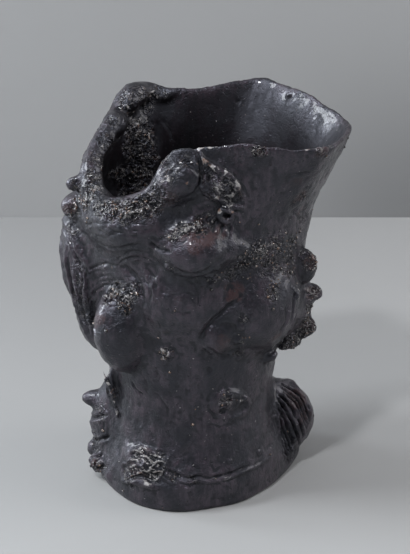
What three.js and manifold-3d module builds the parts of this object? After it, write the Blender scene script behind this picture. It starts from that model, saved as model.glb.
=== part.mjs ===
// A brush pot carved from one gnarled hardwood trunk: a flared mouth, a hollow bore, swollen burls,
// knobs and a torn root foot, closed from below by a turned wooden plug.
// Millimetres, +Z up. The pot stands on z = 0, under the middle of its own outline box.
import * as THREE from "three";
import { mergeVertices } from "three/addons/utils/BufferGeometryUtils.js";
import Module from "manifold-3d";

// Driving sizes
const potHeight = 173; // resting plane to the highest stretch of the rim
const trunkWidth = 108; // across the widest section, where the trunk flares under the mouth
const trunkDepth = 82; // front to back, at the same height
const wallAtRim = 3.8;
const wallBelow = 8; // wall thickness from the shoulder down
const floorThickness = 12;
const floorFillet = 5; // round between the bore's wall and its floor
const lipRound = 1.8; // round along the rim's two edges
const skirtHeight = 12; // band of bark that stands upright round the foot
const skirtRun = 34; // height over which the foot sweeps back to the trunk above that band
const skirtCurve = 2.4; // how hollow that sweep is
const flareStart = 0.76; // share of the height where the mouth begins to flare
const plugRadius = 24; // at its underside
const plugThickness = 10;
const plugTaper = 1.4; // radius that the plug loses towards its top
const plugRecess = 1; // the plug sits this far above the resting plane
const plugChamfer = 0.8;
const glueGap = 0.3;
const knobRoot = 4; // depth to which a knob starts inside the wall
const footChamfer = 1.5;
const mouthWear = 5; // degrees to each side over which the mouth's corners are worn round
const footWear = 9; // the same for the foot's corners
const boreWear = 9; // and for the corners of the bore under the mouth

// How finely the skin is laid out
const columns = 80;
const rowPitch = 4.7;
const frontCrowding = 0.3; // share by which the columns crowd together at the front
const crowdedAngle = -105; // where they are closest, in degrees
const footRows = [footChamfer, 6, 12, 14.5, 17.5, 21];
const lipRows = [0, 2.6, 5.5, 8.5, 11.5]; // rings of the bore close under the lip, by depth
const boreRows = 8; // rings from there down to the floor
const easing = 0.35; // how far the skin is eased towards its neighbours
const knobSegments = 9;

const radians = THREE.MathUtils.degToRad;
const smoothstep = THREE.MathUtils.smoothstep;
const lerp = THREE.MathUtils.lerp;

// The lists below are drawn on a trunk of these sizes, and are stretched to the driving sizes.
const drawnWidth = 108;
const drawnDepth = 82;
const wider = trunkWidth / drawnWidth;
const deeper = trunkDepth / drawnDepth;

// The trunk before its burls. at is a share of the height, and x and y are the section's centre.
const trunkSections = [
  { at: 0.0, x: -3, y: -1, halfWidth: 39, halfDepth: 40 },
  { at: 0.12, x: -4.5, y: 0, halfWidth: 37, halfDepth: 37.5 },
  { at: 0.26, x: -6, y: 0, halfWidth: 36.5, halfDepth: 36 },
  { at: 0.4, x: -6, y: 0, halfWidth: 39, halfDepth: 37 },
  { at: 0.54, x: -4, y: 1, halfWidth: 45, halfDepth: 39 },
  { at: 0.74, x: -5, y: 2, halfWidth: 52.5, halfDepth: 41 },
  { at: 0.84, x: -1, y: 2, halfWidth: 54, halfDepth: 41 },
  { at: 1.0, x: 5, y: 3, halfWidth: 54, halfDepth: 41 },
];

// Corners of the mouth and of the foot in plan, going round anticlockwise from the right.
const mouthCorners = [
  [66, -5],
  [47, 25],
  [28, 50],
  [2, 42],
  [-14, 38],
  [-29, 45],
  [-38, 31],
  [-43, 10],
  [-50, -9],
  [-41, -35],
  [-10, -37],
  [55, -37],
];
const footCorners = [
  [40, -2],
  [46, 18],
  [36, 36],
  [5, 43],
  [-30, 36],
  [-53, 7],
  [-43.5, -22],
  [-31, -39],
  [-12, -46],
  [16, -37],
  [31, -20],
];

// The rim falls below its highest level by drop at each angle, seen from above. The deep dip at the
// front left is the natural notch.
const rimDrops = [
  { angle: -180, drop: 19 },
  { angle: -173, drop: 21.5 },
  { angle: -168, drop: 25.5 },
  { angle: -160, drop: 29.5 },
  { angle: -150, drop: 32 },
  { angle: -143, drop: 32 },
  { angle: -136, drop: 29 },
  { angle: -131, drop: 24.5 },
  { angle: -127, drop: 17 },
  { angle: -122, drop: 10.5 },
  { angle: -116, drop: 7 },
  { angle: -106, drop: 5 },
  { angle: -90, drop: 3.7 },
  { angle: -73, drop: 2.6 },
  { angle: -58, drop: 4.5 },
  { angle: -46, drop: 5.5 },
  { angle: -5, drop: 5.5 },
  { angle: 8, drop: 3.2 },
  { angle: 30, drop: 0.8 },
  { angle: 67, drop: 0.6 },
  { angle: 100, drop: 3 },
  { angle: 120, drop: 3 },
  { angle: 130, drop: 1 },
  { angle: 140, drop: 0 },
  { angle: 146, drop: 3 },
  { angle: 151, drop: 7.5 },
  { angle: 163, drop: 10.5 },
  { angle: 169, drop: 13 },
  { angle: 174, drop: 16 },
  { angle: 180, drop: 19 },
];

// A rounded roll of grown-over bark lines the low part of the rim. radius is half its thickness.
const lipRoll = [
  { angle: 112, radius: 0 },
  { angle: 122, radius: 3 },
  { angle: 130, radius: 4.6 },
  { angle: 138, radius: 5.2 },
  { angle: 150, radius: 3 },
  { angle: 160, radius: 5.4 },
  { angle: 166, radius: 4.4 },
  { angle: 188, radius: 5 },
  { angle: 206, radius: 5.4 },
  { angle: 224, radius: 4.8 },
  { angle: 238, radius: 2.8 },
  { angle: 252, radius: 0 },
];

// Burls swell out of the trunk and melt into it over blend. angle is seen from above, with the
// front at -90, at is a share of the height, and tilt turns the burl on the trunk's surface.
const burls = [
  { name: "hanging", angle: -140, at: 0.468, wide: 25, high: 41, proud: 13.5, deep: 16, tilt: 4, blend: 2.5 },
  { name: "wing", angle: -179, at: 0.62, wide: 34, high: 72, proud: 11.5, deep: 22, tilt: 8, blend: 4 },
  { name: "wing tail", angle: -175, at: 0.46, wide: 20, high: 40, proud: 11, deep: 18, tilt: 14, blend: 3 },
  { name: "shoulder", angle: -140, at: 0.75, wide: 46, high: 34, proud: 8, deep: 22, tilt: 0, blend: 8 },
  { name: "egg", angle: -108, at: 0.886, wide: 27, high: 19, proud: 6.5, deep: 10, tilt: 46, blend: 3.5 },
  { name: "leaf", angle: -83, at: 0.885, wide: 22, high: 21, proud: 3.4, deep: 9, tilt: 28, blend: 2 },
  { name: "front lobe", angle: -88, at: 0.73, wide: 33, high: 28, proud: 10.5, deep: 17, tilt: 6, blend: 4 },
  { name: "lobe ridge", angle: -93, at: 0.772, wide: 28, high: 13, proud: 9.5, deep: 13, tilt: 18, blend: 4 },
  { name: "centre swell", angle: -104, at: 0.57, wide: 46, high: 40, proud: 5, deep: 22, tilt: 0, blend: 9 },
  { name: "pointed", angle: -74, at: 0.475, wide: 21, high: 20, proud: 4.5, deep: 10, tilt: -30, blend: 1.5 },
  { name: "right burl", angle: -35, at: 0.53, wide: 46, high: 48, proud: 8.5, deep: 20, tilt: -8, blend: 5 },
  { name: "right flank", angle: 0, at: 0.485, wide: 46, high: 42, proud: 11.5, deep: 22, tilt: 0, blend: 3 },
  { name: "speckles", angle: -52, at: 0.7, wide: 44, high: 16, proud: 2.5, deep: 12, tilt: -12, blend: 5 },
  { name: "low wart", angle: -64, at: 0.29, wide: 16, high: 13, proud: 3.4, deep: 9, tilt: 0, blend: 3 },
  { name: "torn bark", angle: -124, at: 0.115, wide: 26, high: 13, proud: 4, deep: 12, tilt: 0, blend: 3 },
  { name: "root fin", angle: 10, at: 0.12, wide: 30, high: 46, proud: 13, deep: 26, tilt: 14, blend: 3 },
  { name: "left root", angle: -177, at: 0.13, wide: 30, high: 56, proud: 6.5, deep: 18, tilt: 0, blend: 4 },
  { name: "splinter", angle: -157, at: 0.28, wide: 5, high: 27, proud: 5, deep: 9, tilt: -6, blend: 1.5 },
  { name: "back burl", angle: 118, at: 0.62, wide: 40, high: 46, proud: 9, deep: 20, tilt: -12, blend: 6 },
  { name: "back fold", angle: 78, at: 0.42, wide: 26, high: 38, proud: 8, deep: 18, tilt: 16, blend: 5 },
  { name: "back shoulder", angle: 50, at: 0.72, wide: 32, high: 28, proud: 7, deep: 18, tilt: 0, blend: 6 },
  { name: "back root", angle: 128, at: 0.1, wide: 34, high: 34, proud: 8, deep: 20, tilt: 0, blend: 6 },
  { name: "corner crown", angle: 146, at: 0.96, wide: 30, high: 22, proud: 3, deep: 14, tilt: 0, blend: 4 },
];

// Knobs stand out further than a burl does, and are undercut all round.
const knobs = [
  { angle: -14, at: 0.603, radius: 4.6, reach: 8, stretch: 1.8 },
  { angle: -8, at: 0.52, radius: 4.6, reach: 13.5, stretch: 0.95 },
  { angle: -8, at: 0.43, radius: 5, reach: 14.5, stretch: 1.1 },
  { angle: -16, at: 0.385, radius: 4.5, reach: 9.5, stretch: 0.9 },
  { angle: -28, at: 0.375, radius: 4.2, reach: 4.5, stretch: 0.9 },
  { angle: 24, at: 0.47, radius: 4.6, reach: 12.5, stretch: 1.2 },
  { angle: -169, at: 0.822, radius: 3.4, reach: 8, stretch: 1.3 },
  { angle: -172, at: 0.755, radius: 5.4, reach: 6.5, stretch: 1 },
  { angle: 180, at: 0.2, radius: 4.2, reach: 14, stretch: 0.95 },
  { angle: -178, at: 0.13, radius: 6.2, reach: 7.5, stretch: 0.9 },
  { angle: -178, at: 0.06, radius: 5.5, reach: 4, stretch: 0.85 },
  { angle: -166, at: 0.045, radius: 5.5, reach: 6, stretch: 0.85 },
  { angle: 96, at: 0.66, radius: 5.5, reach: 5, stretch: 1.2 },
  { angle: 140, at: 0.47, radius: 5, reach: 6, stretch: 1 },
];

// Folds are ropes of bark that lie on the skin, and clefts are cut along the skin with such a rope.
// sink is how far the rope's middle lies under the skin. Each point of a line is an angle and a
// share of the height.
const folds = [
  { name: "crest of the front lobe", radius: 3, sink: 1.4, line: [[-102, 0.76], [-95, 0.788], [-86, 0.802]] },
  { name: "rim of the leaf", radius: 1.6, sink: 0, line: [[-98, 0.955], [-88, 0.933], [-76, 0.895], [-68, 0.85]] },
  { name: "edge of the wing", radius: 1.4, sink: 0.2, line: [[-175, 0.706], [-163, 0.646], [-161, 0.56], [-164, 0.42]] },
  { name: "splinter's edge", radius: 1.5, sink: -0.5, line: [[-157, 0.32], [-153, 0.29], [-152, 0.21]] },
  { name: "fin's edge", radius: 1.7, sink: 0, line: [[1, 0.244], [6, 0.234], [1, 0.19], [1, 0.145]] },
  { name: "crest of the torn bark", radius: 1.5, sink: 0, line: [[-133, 0.137], [-120, 0.157], [-107, 0.12]] },
];
const clefts = [
  { name: "cleft beside the hanging burl", radius: 1.9, sink: 0, line: [[-134, 0.645], [-127, 0.62], [-121, 0.565]] },
];
const ropeSegments = 8;

// One section of the trunk, drawn smoothly between its neighbours in the list.
function sectionAt(z) {
  const share = THREE.MathUtils.clamp(z / potHeight, 0, 1);
  let upper = 1;
  while (upper < trunkSections.length - 1 && trunkSections[upper].at < share) upper += 1;
  const below = trunkSections[upper - 1];
  const above = trunkSections[upper];
  const mix = (share - below.at) / (above.at - below.at);
  return {
    x: lerp(below.x, above.x, mix) * wider,
    y: lerp(below.y, above.y, mix) * deeper,
    halfWidth: lerp(below.halfWidth, above.halfWidth, mix) * wider,
    halfDepth: lerp(below.halfDepth, above.halfDepth, mix) * deeper,
  };
}

// Distance from a centre to a cornered outline, along one direction.
function outlineRadius(corners, centre, angle) {
  const dx = Math.cos(angle);
  const dy = Math.sin(angle);
  let nearest = Infinity;
  corners.forEach((corner, i) => {
    const next = corners[(i + 1) % corners.length];
    const x = corner[0] * wider - centre.x;
    const y = corner[1] * deeper - centre.y;
    const ex = (next[0] - corner[0]) * wider;
    const ey = (next[1] - corner[1]) * deeper;
    const across = dx * ey - dy * ex;
    const reach = (x * ey - y * ex) / across;
    const along = (x * dy - y * dx) / across;
    if (reach > 0 && along >= 0 && along <= 1) nearest = Math.min(nearest, reach);
  });
  return nearest;
}

// The same outline with its corners worn round, as a mean over wear degrees to each side.
function wornOutline(corners, centre, angle, wear) {
  const spread = [-1, -0.5, 0, 0.5, 1];
  let sum = 0;
  for (const share of spread) {
    sum += outlineRadius(corners, centre, angle + radians(share * wear + 0.01));
  }
  return sum / spread.length;
}

// Radius of the bare trunk about its section's centre: the foot's outline at the bottom, an ellipse
// up the trunk, and the flared mouth's outline at the top.
function trunkRadius(angle, z, wear = mouthWear) {
  const section = sectionAt(z);
  const ellipse =
    1 / Math.hypot(Math.cos(angle) / section.halfWidth, Math.sin(angle) / section.halfDepth);
  const flare = smoothstep(z / potHeight, flareStart, 1.12) / smoothstep(1, flareStart, 1.12);
  const foot = THREE.MathUtils.clamp(1 - (z - skirtHeight) / skirtRun, 0, 1) ** skirtCurve;
  let radius = ellipse;
  if (flare > 0) radius = lerp(radius, wornOutline(mouthCorners, section, angle, wear), flare);
  if (foot > 0) radius = lerp(radius, wornOutline(footCorners, section, angle, footWear), foot);
  return radius;
}

// Height of the rim at an angle in radians.
function rimHeight(angle) {
  const degrees = THREE.MathUtils.euclideanModulo(THREE.MathUtils.radToDeg(angle) + 180, 360) - 180;
  let upper = 1;
  while (upper < rimDrops.length - 1 && rimDrops[upper].angle < degrees) upper += 1;
  const below = rimDrops[upper - 1];
  const above = rimDrops[upper];
  const mix = smoothstep(degrees, below.angle, above.angle);
  return potHeight - lerp(below.drop, above.drop, mix);
}

// Radius of the lip's roll at an angle in radians, which is nothing where the lip is plain.
function rollRadius(angle) {
  const degrees = THREE.MathUtils.euclideanModulo(THREE.MathUtils.radToDeg(angle), 360);
  let upper = 1;
  while (upper < lipRoll.length - 1 && lipRoll[upper].angle < degrees) upper += 1;
  const below = lipRoll[upper - 1];
  const above = lipRoll[upper];
  const share = (degrees - below.angle) / (above.angle - below.angle);
  return lerp(below.radius, above.radius, THREE.MathUtils.clamp(share, 0, 1));
}

// Thickness of the wall at a height, with the roll where it is thicker than the plain wall.
function wallHere(angle, z) {
  const plain = lerp(wallBelow, wallAtRim, smoothstep(z / potHeight, 0.55, 1));
  const roll = rollRadius(angle);
  const fromMiddle = rimHeight(angle) - roll - z;
  const room = roll * roll - fromMiddle * fromMiddle;
  return room > 0 ? Math.max(plain, roll + Math.sqrt(room)) : plain;
}

// A point on the bare trunk, or reach beyond it.
function trunkPoint(angle, z, reach = 0) {
  const section = sectionAt(z);
  const radius = trunkRadius(angle, z) + reach;
  return new THREE.Vector3(
    section.x + radius * Math.cos(angle),
    section.y + radius * Math.sin(angle),
    z,
  );
}

// Each burl is an ellipsoid whose outermost point stands proud of the trunk.
const swellings = burls.map((burl) => {
  const angle = radians(burl.angle);
  const turn = new THREE.Matrix4().makeRotationZ(angle);
  turn.multiply(new THREE.Matrix4().makeRotationX(radians(burl.tilt)));
  return {
    centre: trunkPoint(angle, burl.at * potHeight, burl.proud - burl.deep),
    unturn: turn.invert(),
    half: new THREE.Vector3(burl.deep, burl.wide / 2, burl.high / 2),
    blend: burl.blend,
  };
});

// Signed distance to an ellipsoid, exact near its surface.
function swellingDistance(swelling, point) {
  const p = point.clone().sub(swelling.centre).applyMatrix4(swelling.unturn);
  const scaled = p.clone().divide(swelling.half);
  const steep = scaled.clone().divide(swelling.half).length();
  const size = scaled.length();
  return steep > 0 ? (size * (size - 1)) / steep : -swelling.half.x;
}

function smoothUnion(a, b, blend) {
  const overlap = Math.max(blend - Math.abs(a - b), 0) / blend;
  return Math.min(a, b) - (overlap * overlap * blend) / 4;
}

// Outer radius of trunk and burls together, found by walking in from outside.
const outside = 95;
const stride = 0.7;
function skinRadius(angle, z) {
  const section = sectionAt(z);
  const bare = trunkRadius(angle, z);
  const dx = Math.cos(angle);
  const dy = Math.sin(angle);
  const point = new THREE.Vector3();
  let radius = outside;
  while (radius > bare) {
    point.set(section.x + radius * dx, section.y + radius * dy, z);
    let distance = radius - bare;
    for (const swelling of swellings) {
      distance = smoothUnion(distance, swellingDistance(swelling, point), swelling.blend);
    }
    if (distance < 0.02) break;
    radius -= Math.max(distance * stride, 0.02);
  }
  return Math.max(radius, bare);
}

// The pot's skin, laid out as closed rings: up the outside, over the lip, down the bore, across the
// floor, down the plug's hole and back under the foot.
const plugCentre = sectionAt(0);
const holeBottom = plugRadius + glueGap;
const holeTop = holeBottom - (plugTaper * (floorThickness - plugRecess)) / plugThickness;

function ringOnPlug(radius, z) {
  return (angle) => [
    plugCentre.x + radius * Math.cos(angle),
    plugCentre.y + radius * Math.sin(angle),
    z,
  ];
}

function outerRing(level) {
  return (angle) => {
    const sink = (potHeight - rimHeight(angle)) * smoothstep(level, potHeight * 0.55, potHeight);
    const z = level - sink;
    const section = sectionAt(z);
    const trim = z < footChamfer ? footChamfer - z : 0;
    const radius = skinRadius(angle, Math.max(z, 0)) - trim;
    return [section.x + radius * Math.cos(angle), section.y + radius * Math.sin(angle), z];
  };
}

function crestRing(angle) {
  const z = rimHeight(angle);
  const outer = skinRadius(angle, z - lipRound);
  const inner = trunkRadius(angle, z - lipRound, boreWear) - wallHere(angle, z - lipRound);
  return { z, outer, inner, section: sectionAt(z - lipRound) };
}

function lipRing(share, rise) {
  return (angle) => {
    const crest = crestRing(angle);
    const radius = lerp(crest.outer, crest.inner, share);
    return [
      crest.section.x + radius * Math.cos(angle),
      crest.section.y + radius * Math.sin(angle),
      crest.z - lipRound + rise,
    ];
  };
}

// A ring of the bore's wall, on a height given for each angle, drawn in by tuck.
function boreRing(levelAt, tuck = 0) {
  return (angle) => {
    const z = levelAt(angle);
    const section = sectionAt(z);
    const radius = trunkRadius(angle, z, boreWear) - wallHere(angle, z) - tuck;
    return [section.x + radius * Math.cos(angle), section.y + radius * Math.sin(angle), z];
  };
}

// Angles of the columns, closer together at the front.
const columnAngles = Array.from({ length: columns }, (_, j) => {
  const even = (j / columns) * Math.PI * 2;
  return even - frontCrowding * Math.sin(even - radians(crowdedAngle));
});

function drawn(rings) {
  return rings.map((ring) => columnAngles.map((angle) => ring(angle)));
}

// Moves each point part of the way to the mean of its four neighbours, except in the first ring.
function eased(points, share) {
  return points.map((ring, i) => {
    if (i === 0 || i === points.length - 1) return ring;
    return ring.map((point, j) => {
      const before = ring[(j + columns - 1) % columns];
      const after = ring[(j + 1) % columns];
      return point.map((value, axis) => {
        const mean = (before[axis] + after[axis] + points[i - 1][j][axis] + points[i + 1][j][axis]) / 4;
        return lerp(value, mean, share);
      });
    });
  });
}

const outerLevels = [0, ...footRows];
const firstLevel = footRows.at(-1) + rowPitch;
const upperRows = Math.round((potHeight - lipRound - firstLevel) / rowPitch);
for (let i = 0; i <= upperRows; i += 1) {
  outerLevels.push(lerp(firstLevel, potHeight - lipRound, i / upperRows));
}
const innerRings = [lipRing(0.25, lipRound), lipRing(0.75, lipRound)];
for (const depth of lipRows) innerRings.push(boreRing((angle) => rimHeight(angle) - lipRound - depth));
const boreFoot = floorThickness + floorFillet;
for (let i = 1; i <= boreRows; i += 1) {
  const share = i / boreRows;
  const start = lipRound + lipRows.at(-1);
  innerRings.push(boreRing((angle) => lerp(rimHeight(angle) - start, boreFoot, share)));
}
innerRings.push(boreRing(() => floorThickness + floorFillet * 0.3, floorFillet * 0.3));
innerRings.push(boreRing(() => floorThickness, floorFillet));
innerRings.push(ringOnPlug(holeTop, floorThickness));
innerRings.push(ringOnPlug(holeBottom, 0));

const footLayers = footRows.length;
const carved = drawn(outerLevels.map(outerRing));
const barkPoints = eased(carved.slice(footLayers), easing);
const skinPoints = [...carved.slice(0, footLayers), ...barkPoints, ...drawn(innerRings)];

function closedSkin(pointRings) {
  const positions = pointRings.flat(2);
  const index = [];
  const last = pointRings.length;
  for (let i = 0; i < last; i += 1) {
    for (let j = 0; j < columns; j += 1) {
      const a = i * columns + j;
      const b = i * columns + ((j + 1) % columns);
      const c = ((i + 1) % last) * columns + ((j + 1) % columns);
      const d = ((i + 1) % last) * columns + j;
      index.push(a, b, c, a, c, d);
    }
  }
  const geometry = new THREE.BufferGeometry();
  geometry.setAttribute("position", new THREE.Float32BufferAttribute(positions, 3));
  geometry.setIndex(index);
  return geometry;
}

const wasm = await Module();
wasm.setup();

function toSolid(geometry) {
  const bare = geometry.clone();
  bare.deleteAttribute("normal");
  bare.deleteAttribute("uv");
  const merged = mergeVertices(bare, 1e-4);
  return new wasm.Manifold(
    new wasm.Mesh({
      numProp: 3,
      vertProperties: merged.attributes.position.array,
      triVerts: new Uint32Array(merged.index.array),
    }),
  );
}

function toGeometry(solid) {
  const mesh = solid.getMesh();
  const geometry = new THREE.BufferGeometry();
  geometry.setAttribute("position", new THREE.Float32BufferAttribute(mesh.vertProperties, 3));
  geometry.setIndex(new THREE.BufferAttribute(mesh.triVerts, 1));
  return geometry;
}

// A knob is an egg pointing straight out. It starts inside the wall, and its tip stands at its reach.
function knobSolid(knob) {
  const angle = radians(knob.angle);
  const length = (knob.reach + knobRoot) / 2;
  const egg = new THREE.SphereGeometry(1, knobSegments, knobSegments - 2);
  egg.rotateX(Math.PI / 2);
  egg.scale(length, knob.radius, knob.radius * knob.stretch);
  egg.rotateZ(angle);
  const seat = trunkPoint(angle, knob.at * potHeight, knob.reach - length);
  egg.translate(seat.x, seat.y, seat.z);
  return toSolid(egg);
}

// A rope is the joined hulls of the balls at its points.
function ropeSolid(rope) {
  const balls = rope.line.map(([degrees, at]) => {
    const angle = radians(degrees);
    const z = at * potHeight;
    const section = sectionAt(z);
    const radius = skinRadius(angle, z) - rope.sink;
    const ball = wasm.Manifold.sphere(rope.radius, ropeSegments);
    return ball.translate(
      section.x + radius * Math.cos(angle),
      section.y + radius * Math.sin(angle),
      z,
    );
  });
  const links = balls.slice(1).map((ball, i) => wasm.Manifold.hull([balls[i], ball]));
  return wasm.Manifold.union(links);
}

let trunkSolid = toSolid(closedSkin(skinPoints));
for (const knob of knobs) trunkSolid = trunkSolid.add(knobSolid(knob));
for (const fold of folds) trunkSolid = trunkSolid.add(ropeSolid(fold));
for (const cleft of clefts) trunkSolid = trunkSolid.subtract(ropeSolid(cleft));

// The plug is turned, tapers towards its top and is broken at its lower edge.
function plugGeometry() {
  const topRadius = plugRadius - plugTaper;
  const profile = [
    [0, plugRecess],
    [plugRadius - plugChamfer, plugRecess],
    [plugRadius - (plugTaper * plugChamfer) / plugThickness, plugRecess + plugChamfer],
    [topRadius, plugRecess + plugThickness],
    [0, plugRecess + plugThickness],
  ];
  return new THREE.LatheGeometry(
    profile.map(([x, y]) => new THREE.Vector2(x, y)),
    64,
  );
}

const darkWood = new THREE.MeshStandardMaterial({ color: 0x2a2224, roughness: 0.35, metalness: 0 });
const plugWood = new THREE.MeshStandardMaterial({ color: 0x33241f, roughness: 0.5, metalness: 0 });

const trunkBody = new THREE.Mesh(toGeometry(trunkSolid), darkWood);
trunkBody.name = "trunk_body";

const basePlug = new THREE.Mesh(plugGeometry().rotateX(Math.PI / 2), plugWood);
basePlug.name = "base_plug";
basePlug.position.set(plugCentre.x, plugCentre.y, 0);

const brushPot = new THREE.Group();
brushPot.add(trunkBody, basePlug);

// The origin lies under the middle of the outline box.
const middle = new THREE.Box3().setFromObject(brushPot).getCenter(new THREE.Vector3());
brushPot.position.set(-middle.x, -middle.y, 0);

export default brushPot;
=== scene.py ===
import math

import bpy
import numpy as np
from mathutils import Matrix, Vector


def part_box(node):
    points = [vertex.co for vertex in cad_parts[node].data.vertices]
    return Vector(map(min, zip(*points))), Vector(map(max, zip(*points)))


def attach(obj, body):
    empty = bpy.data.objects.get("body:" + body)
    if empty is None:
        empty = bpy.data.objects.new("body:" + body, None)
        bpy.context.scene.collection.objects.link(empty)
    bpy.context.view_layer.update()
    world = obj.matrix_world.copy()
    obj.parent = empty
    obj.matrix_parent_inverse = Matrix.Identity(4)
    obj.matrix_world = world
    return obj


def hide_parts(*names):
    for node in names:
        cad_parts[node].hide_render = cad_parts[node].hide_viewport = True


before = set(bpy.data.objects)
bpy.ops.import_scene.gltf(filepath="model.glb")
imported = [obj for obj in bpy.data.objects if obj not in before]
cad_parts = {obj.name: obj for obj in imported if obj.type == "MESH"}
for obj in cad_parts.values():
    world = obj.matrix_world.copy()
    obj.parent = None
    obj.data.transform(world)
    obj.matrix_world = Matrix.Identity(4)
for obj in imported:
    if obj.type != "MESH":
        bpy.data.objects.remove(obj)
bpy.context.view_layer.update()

millimetre = 0.001
plugCentre = np.array([-3.0, -1.0])  # the plug's place in the carving's coordinates
plugLow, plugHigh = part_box("base_plug")
carvingShift = np.array(
    [
        (plugLow.x + plugHigh.x) / 2 - plugCentre[0] * millimetre,
        (plugLow.y + plugHigh.y) / 2 - plugCentre[1] * millimetre,
        0.0,
    ]
)
farAway = 1e3  # a distance beyond anything on the pot


# From the carving's coordinates to metres in the frame
def toFrame(points):
    return np.asarray(points, float) * millimetre + carvingShift


# The camera stands in front of the pot and looks down on it. A line of sight is walked along
# from walkStart in front of the target, for walkReach.
view = {
    "target": (0.0, 0.0, 94.6),
    "elevation": 23.0,
    "distance": 900.0,
    "focalPixels": 2021.0,
    "pictureHeight": 554,
    "sensor": 36.0,
    "nearest": 0.01,
    "walkStart": 120.0,
    "walkReach": 240.0,
}
viewRise = math.radians(view["elevation"])
viewBack = np.array([0.0, -math.cos(viewRise), math.sin(viewRise)])
viewUp = np.array([0.0, math.sin(viewRise), math.cos(viewRise)])
viewRight = np.array([1.0, 0.0, 0.0])
viewTarget = np.array(view["target"])
viewEye = viewTarget + viewBack * view["distance"]


def addToScene(name, data):
    holder = bpy.data.objects.new(name, data)
    bpy.context.scene.collection.objects.link(holder)
    return holder


def placeCamera():
    camera = bpy.data.cameras.new("front_camera")
    holder = addToScene("front_camera", camera)
    holder.location = toFrame(viewEye)
    holder.rotation_euler = Vector(-viewBack).to_track_quat("-Z", "Y").to_euler()
    camera.sensor_width = view["sensor"]
    camera.lens = view["focalPixels"] * view["sensor"] / view["pictureHeight"]
    camera.clip_start = view["nearest"]
    bpy.context.scene.camera = holder


placeCamera()
print("camera placed")


def smoothStep(value, low, high):
    share = np.clip((value - low) / (high - low), 0.0, 1.0)
    return share * share * (3.0 - 2.0 * share)


def smoothUnion(a, b, blend):
    overlap = np.maximum(blend - np.abs(a - b), 0.0) / blend
    return np.minimum(a, b) - overlap * overlap * blend / 4.0


def smoothMeet(a, b, blend):
    return -smoothUnion(-a, -b, blend)


def unit(vectors):
    return vectors / np.maximum(np.linalg.norm(vectors, axis=-1, keepdims=True), 1e-9)


# Noise, from well mixed 32-bit numbers for each cell of a grid.
def mixedNumber(cell, seed):
    x = cell[..., 0].astype(np.uint32) * np.uint32(0x8DA6B343)
    y = cell[..., 1].astype(np.uint32) * np.uint32(0xD8163841)
    z = cell[..., 2].astype(np.uint32) * np.uint32(0xCB1AB31F)
    mixed = x ^ y ^ z ^ np.uint32(seed * 2654435761 % 4294967296)
    mixed ^= mixed >> np.uint32(15)
    mixed *= np.uint32(0x2C1B3C6D)
    mixed ^= mixed >> np.uint32(12)
    mixed *= np.uint32(0x297A2D39)
    mixed ^= mixed >> np.uint32(15)
    return mixed


# What brings the noise's swings to about 1, and what makes a crest of its middle values
noiseGain = 1.6
ridgeGain = 2.4
cubeCorners = [np.array([corner & 1, corner >> 1 & 1, corner >> 2 & 1]) for corner in range(8)]


# From about -1 to 1, in bumps as wide as size.
def softNoise(points, size, seed):
    scaled = points / size
    base = np.floor(scaled)
    local = scaled - base
    base = base.astype(np.int64)
    fade = local**3 * (local * (local * 6.0 - 15.0) + 10.0)
    total = np.zeros(len(points))
    for offset in cubeCorners:
        mixed = mixedNumber(base + offset, seed)
        away = local - offset
        turn = (mixed & np.uint32(0xFFFF)) * (2.0 * math.pi / 65536.0)
        rise = (mixed >> np.uint32(16)) * (2.0 / 65536.0) - 1.0
        flat = np.sqrt(np.maximum(1.0 - rise * rise, 0.0))
        slope = away[:, 0] * flat * np.cos(turn) + away[:, 1] * flat * np.sin(turn) + away[:, 2] * rise
        total += slope * np.prod(np.where(offset == 1, fade, 1.0 - fade), axis=1)
    return total * noiseGain


def layeredNoise(points, size, layers, seed):
    total = np.zeros(len(points))
    for layer in range(layers):
        total += softNoise(points, size * 0.5**layer, seed + layer) * 0.5**layer
    return total / (2.0 - 0.5 ** (layers - 1))


# Crisp crests between rounded hollows, from 0 to 1.
def ridgeNoise(points, size, layers, seed):
    total = np.zeros(len(points))
    for layer in range(layers):
        swing = np.abs(softNoise(points, size * 0.5**layer, seed + layer))
        total += (1.0 - np.minimum(swing * ridgeGain, 1.0)) ** 2 * 0.5**layer
    return total / (2.0 - 0.5 ** (layers - 1))


# Points pushed about by noise, so that what is drawn with them winds like a worm.
def bentPoints(points, size, reach, seed):
    shifts = [layeredNoise(points, size, 2, seed + 11 * axis) for axis in range(3)]
    return points + np.stack(shifts, axis=1) * reach


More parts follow.
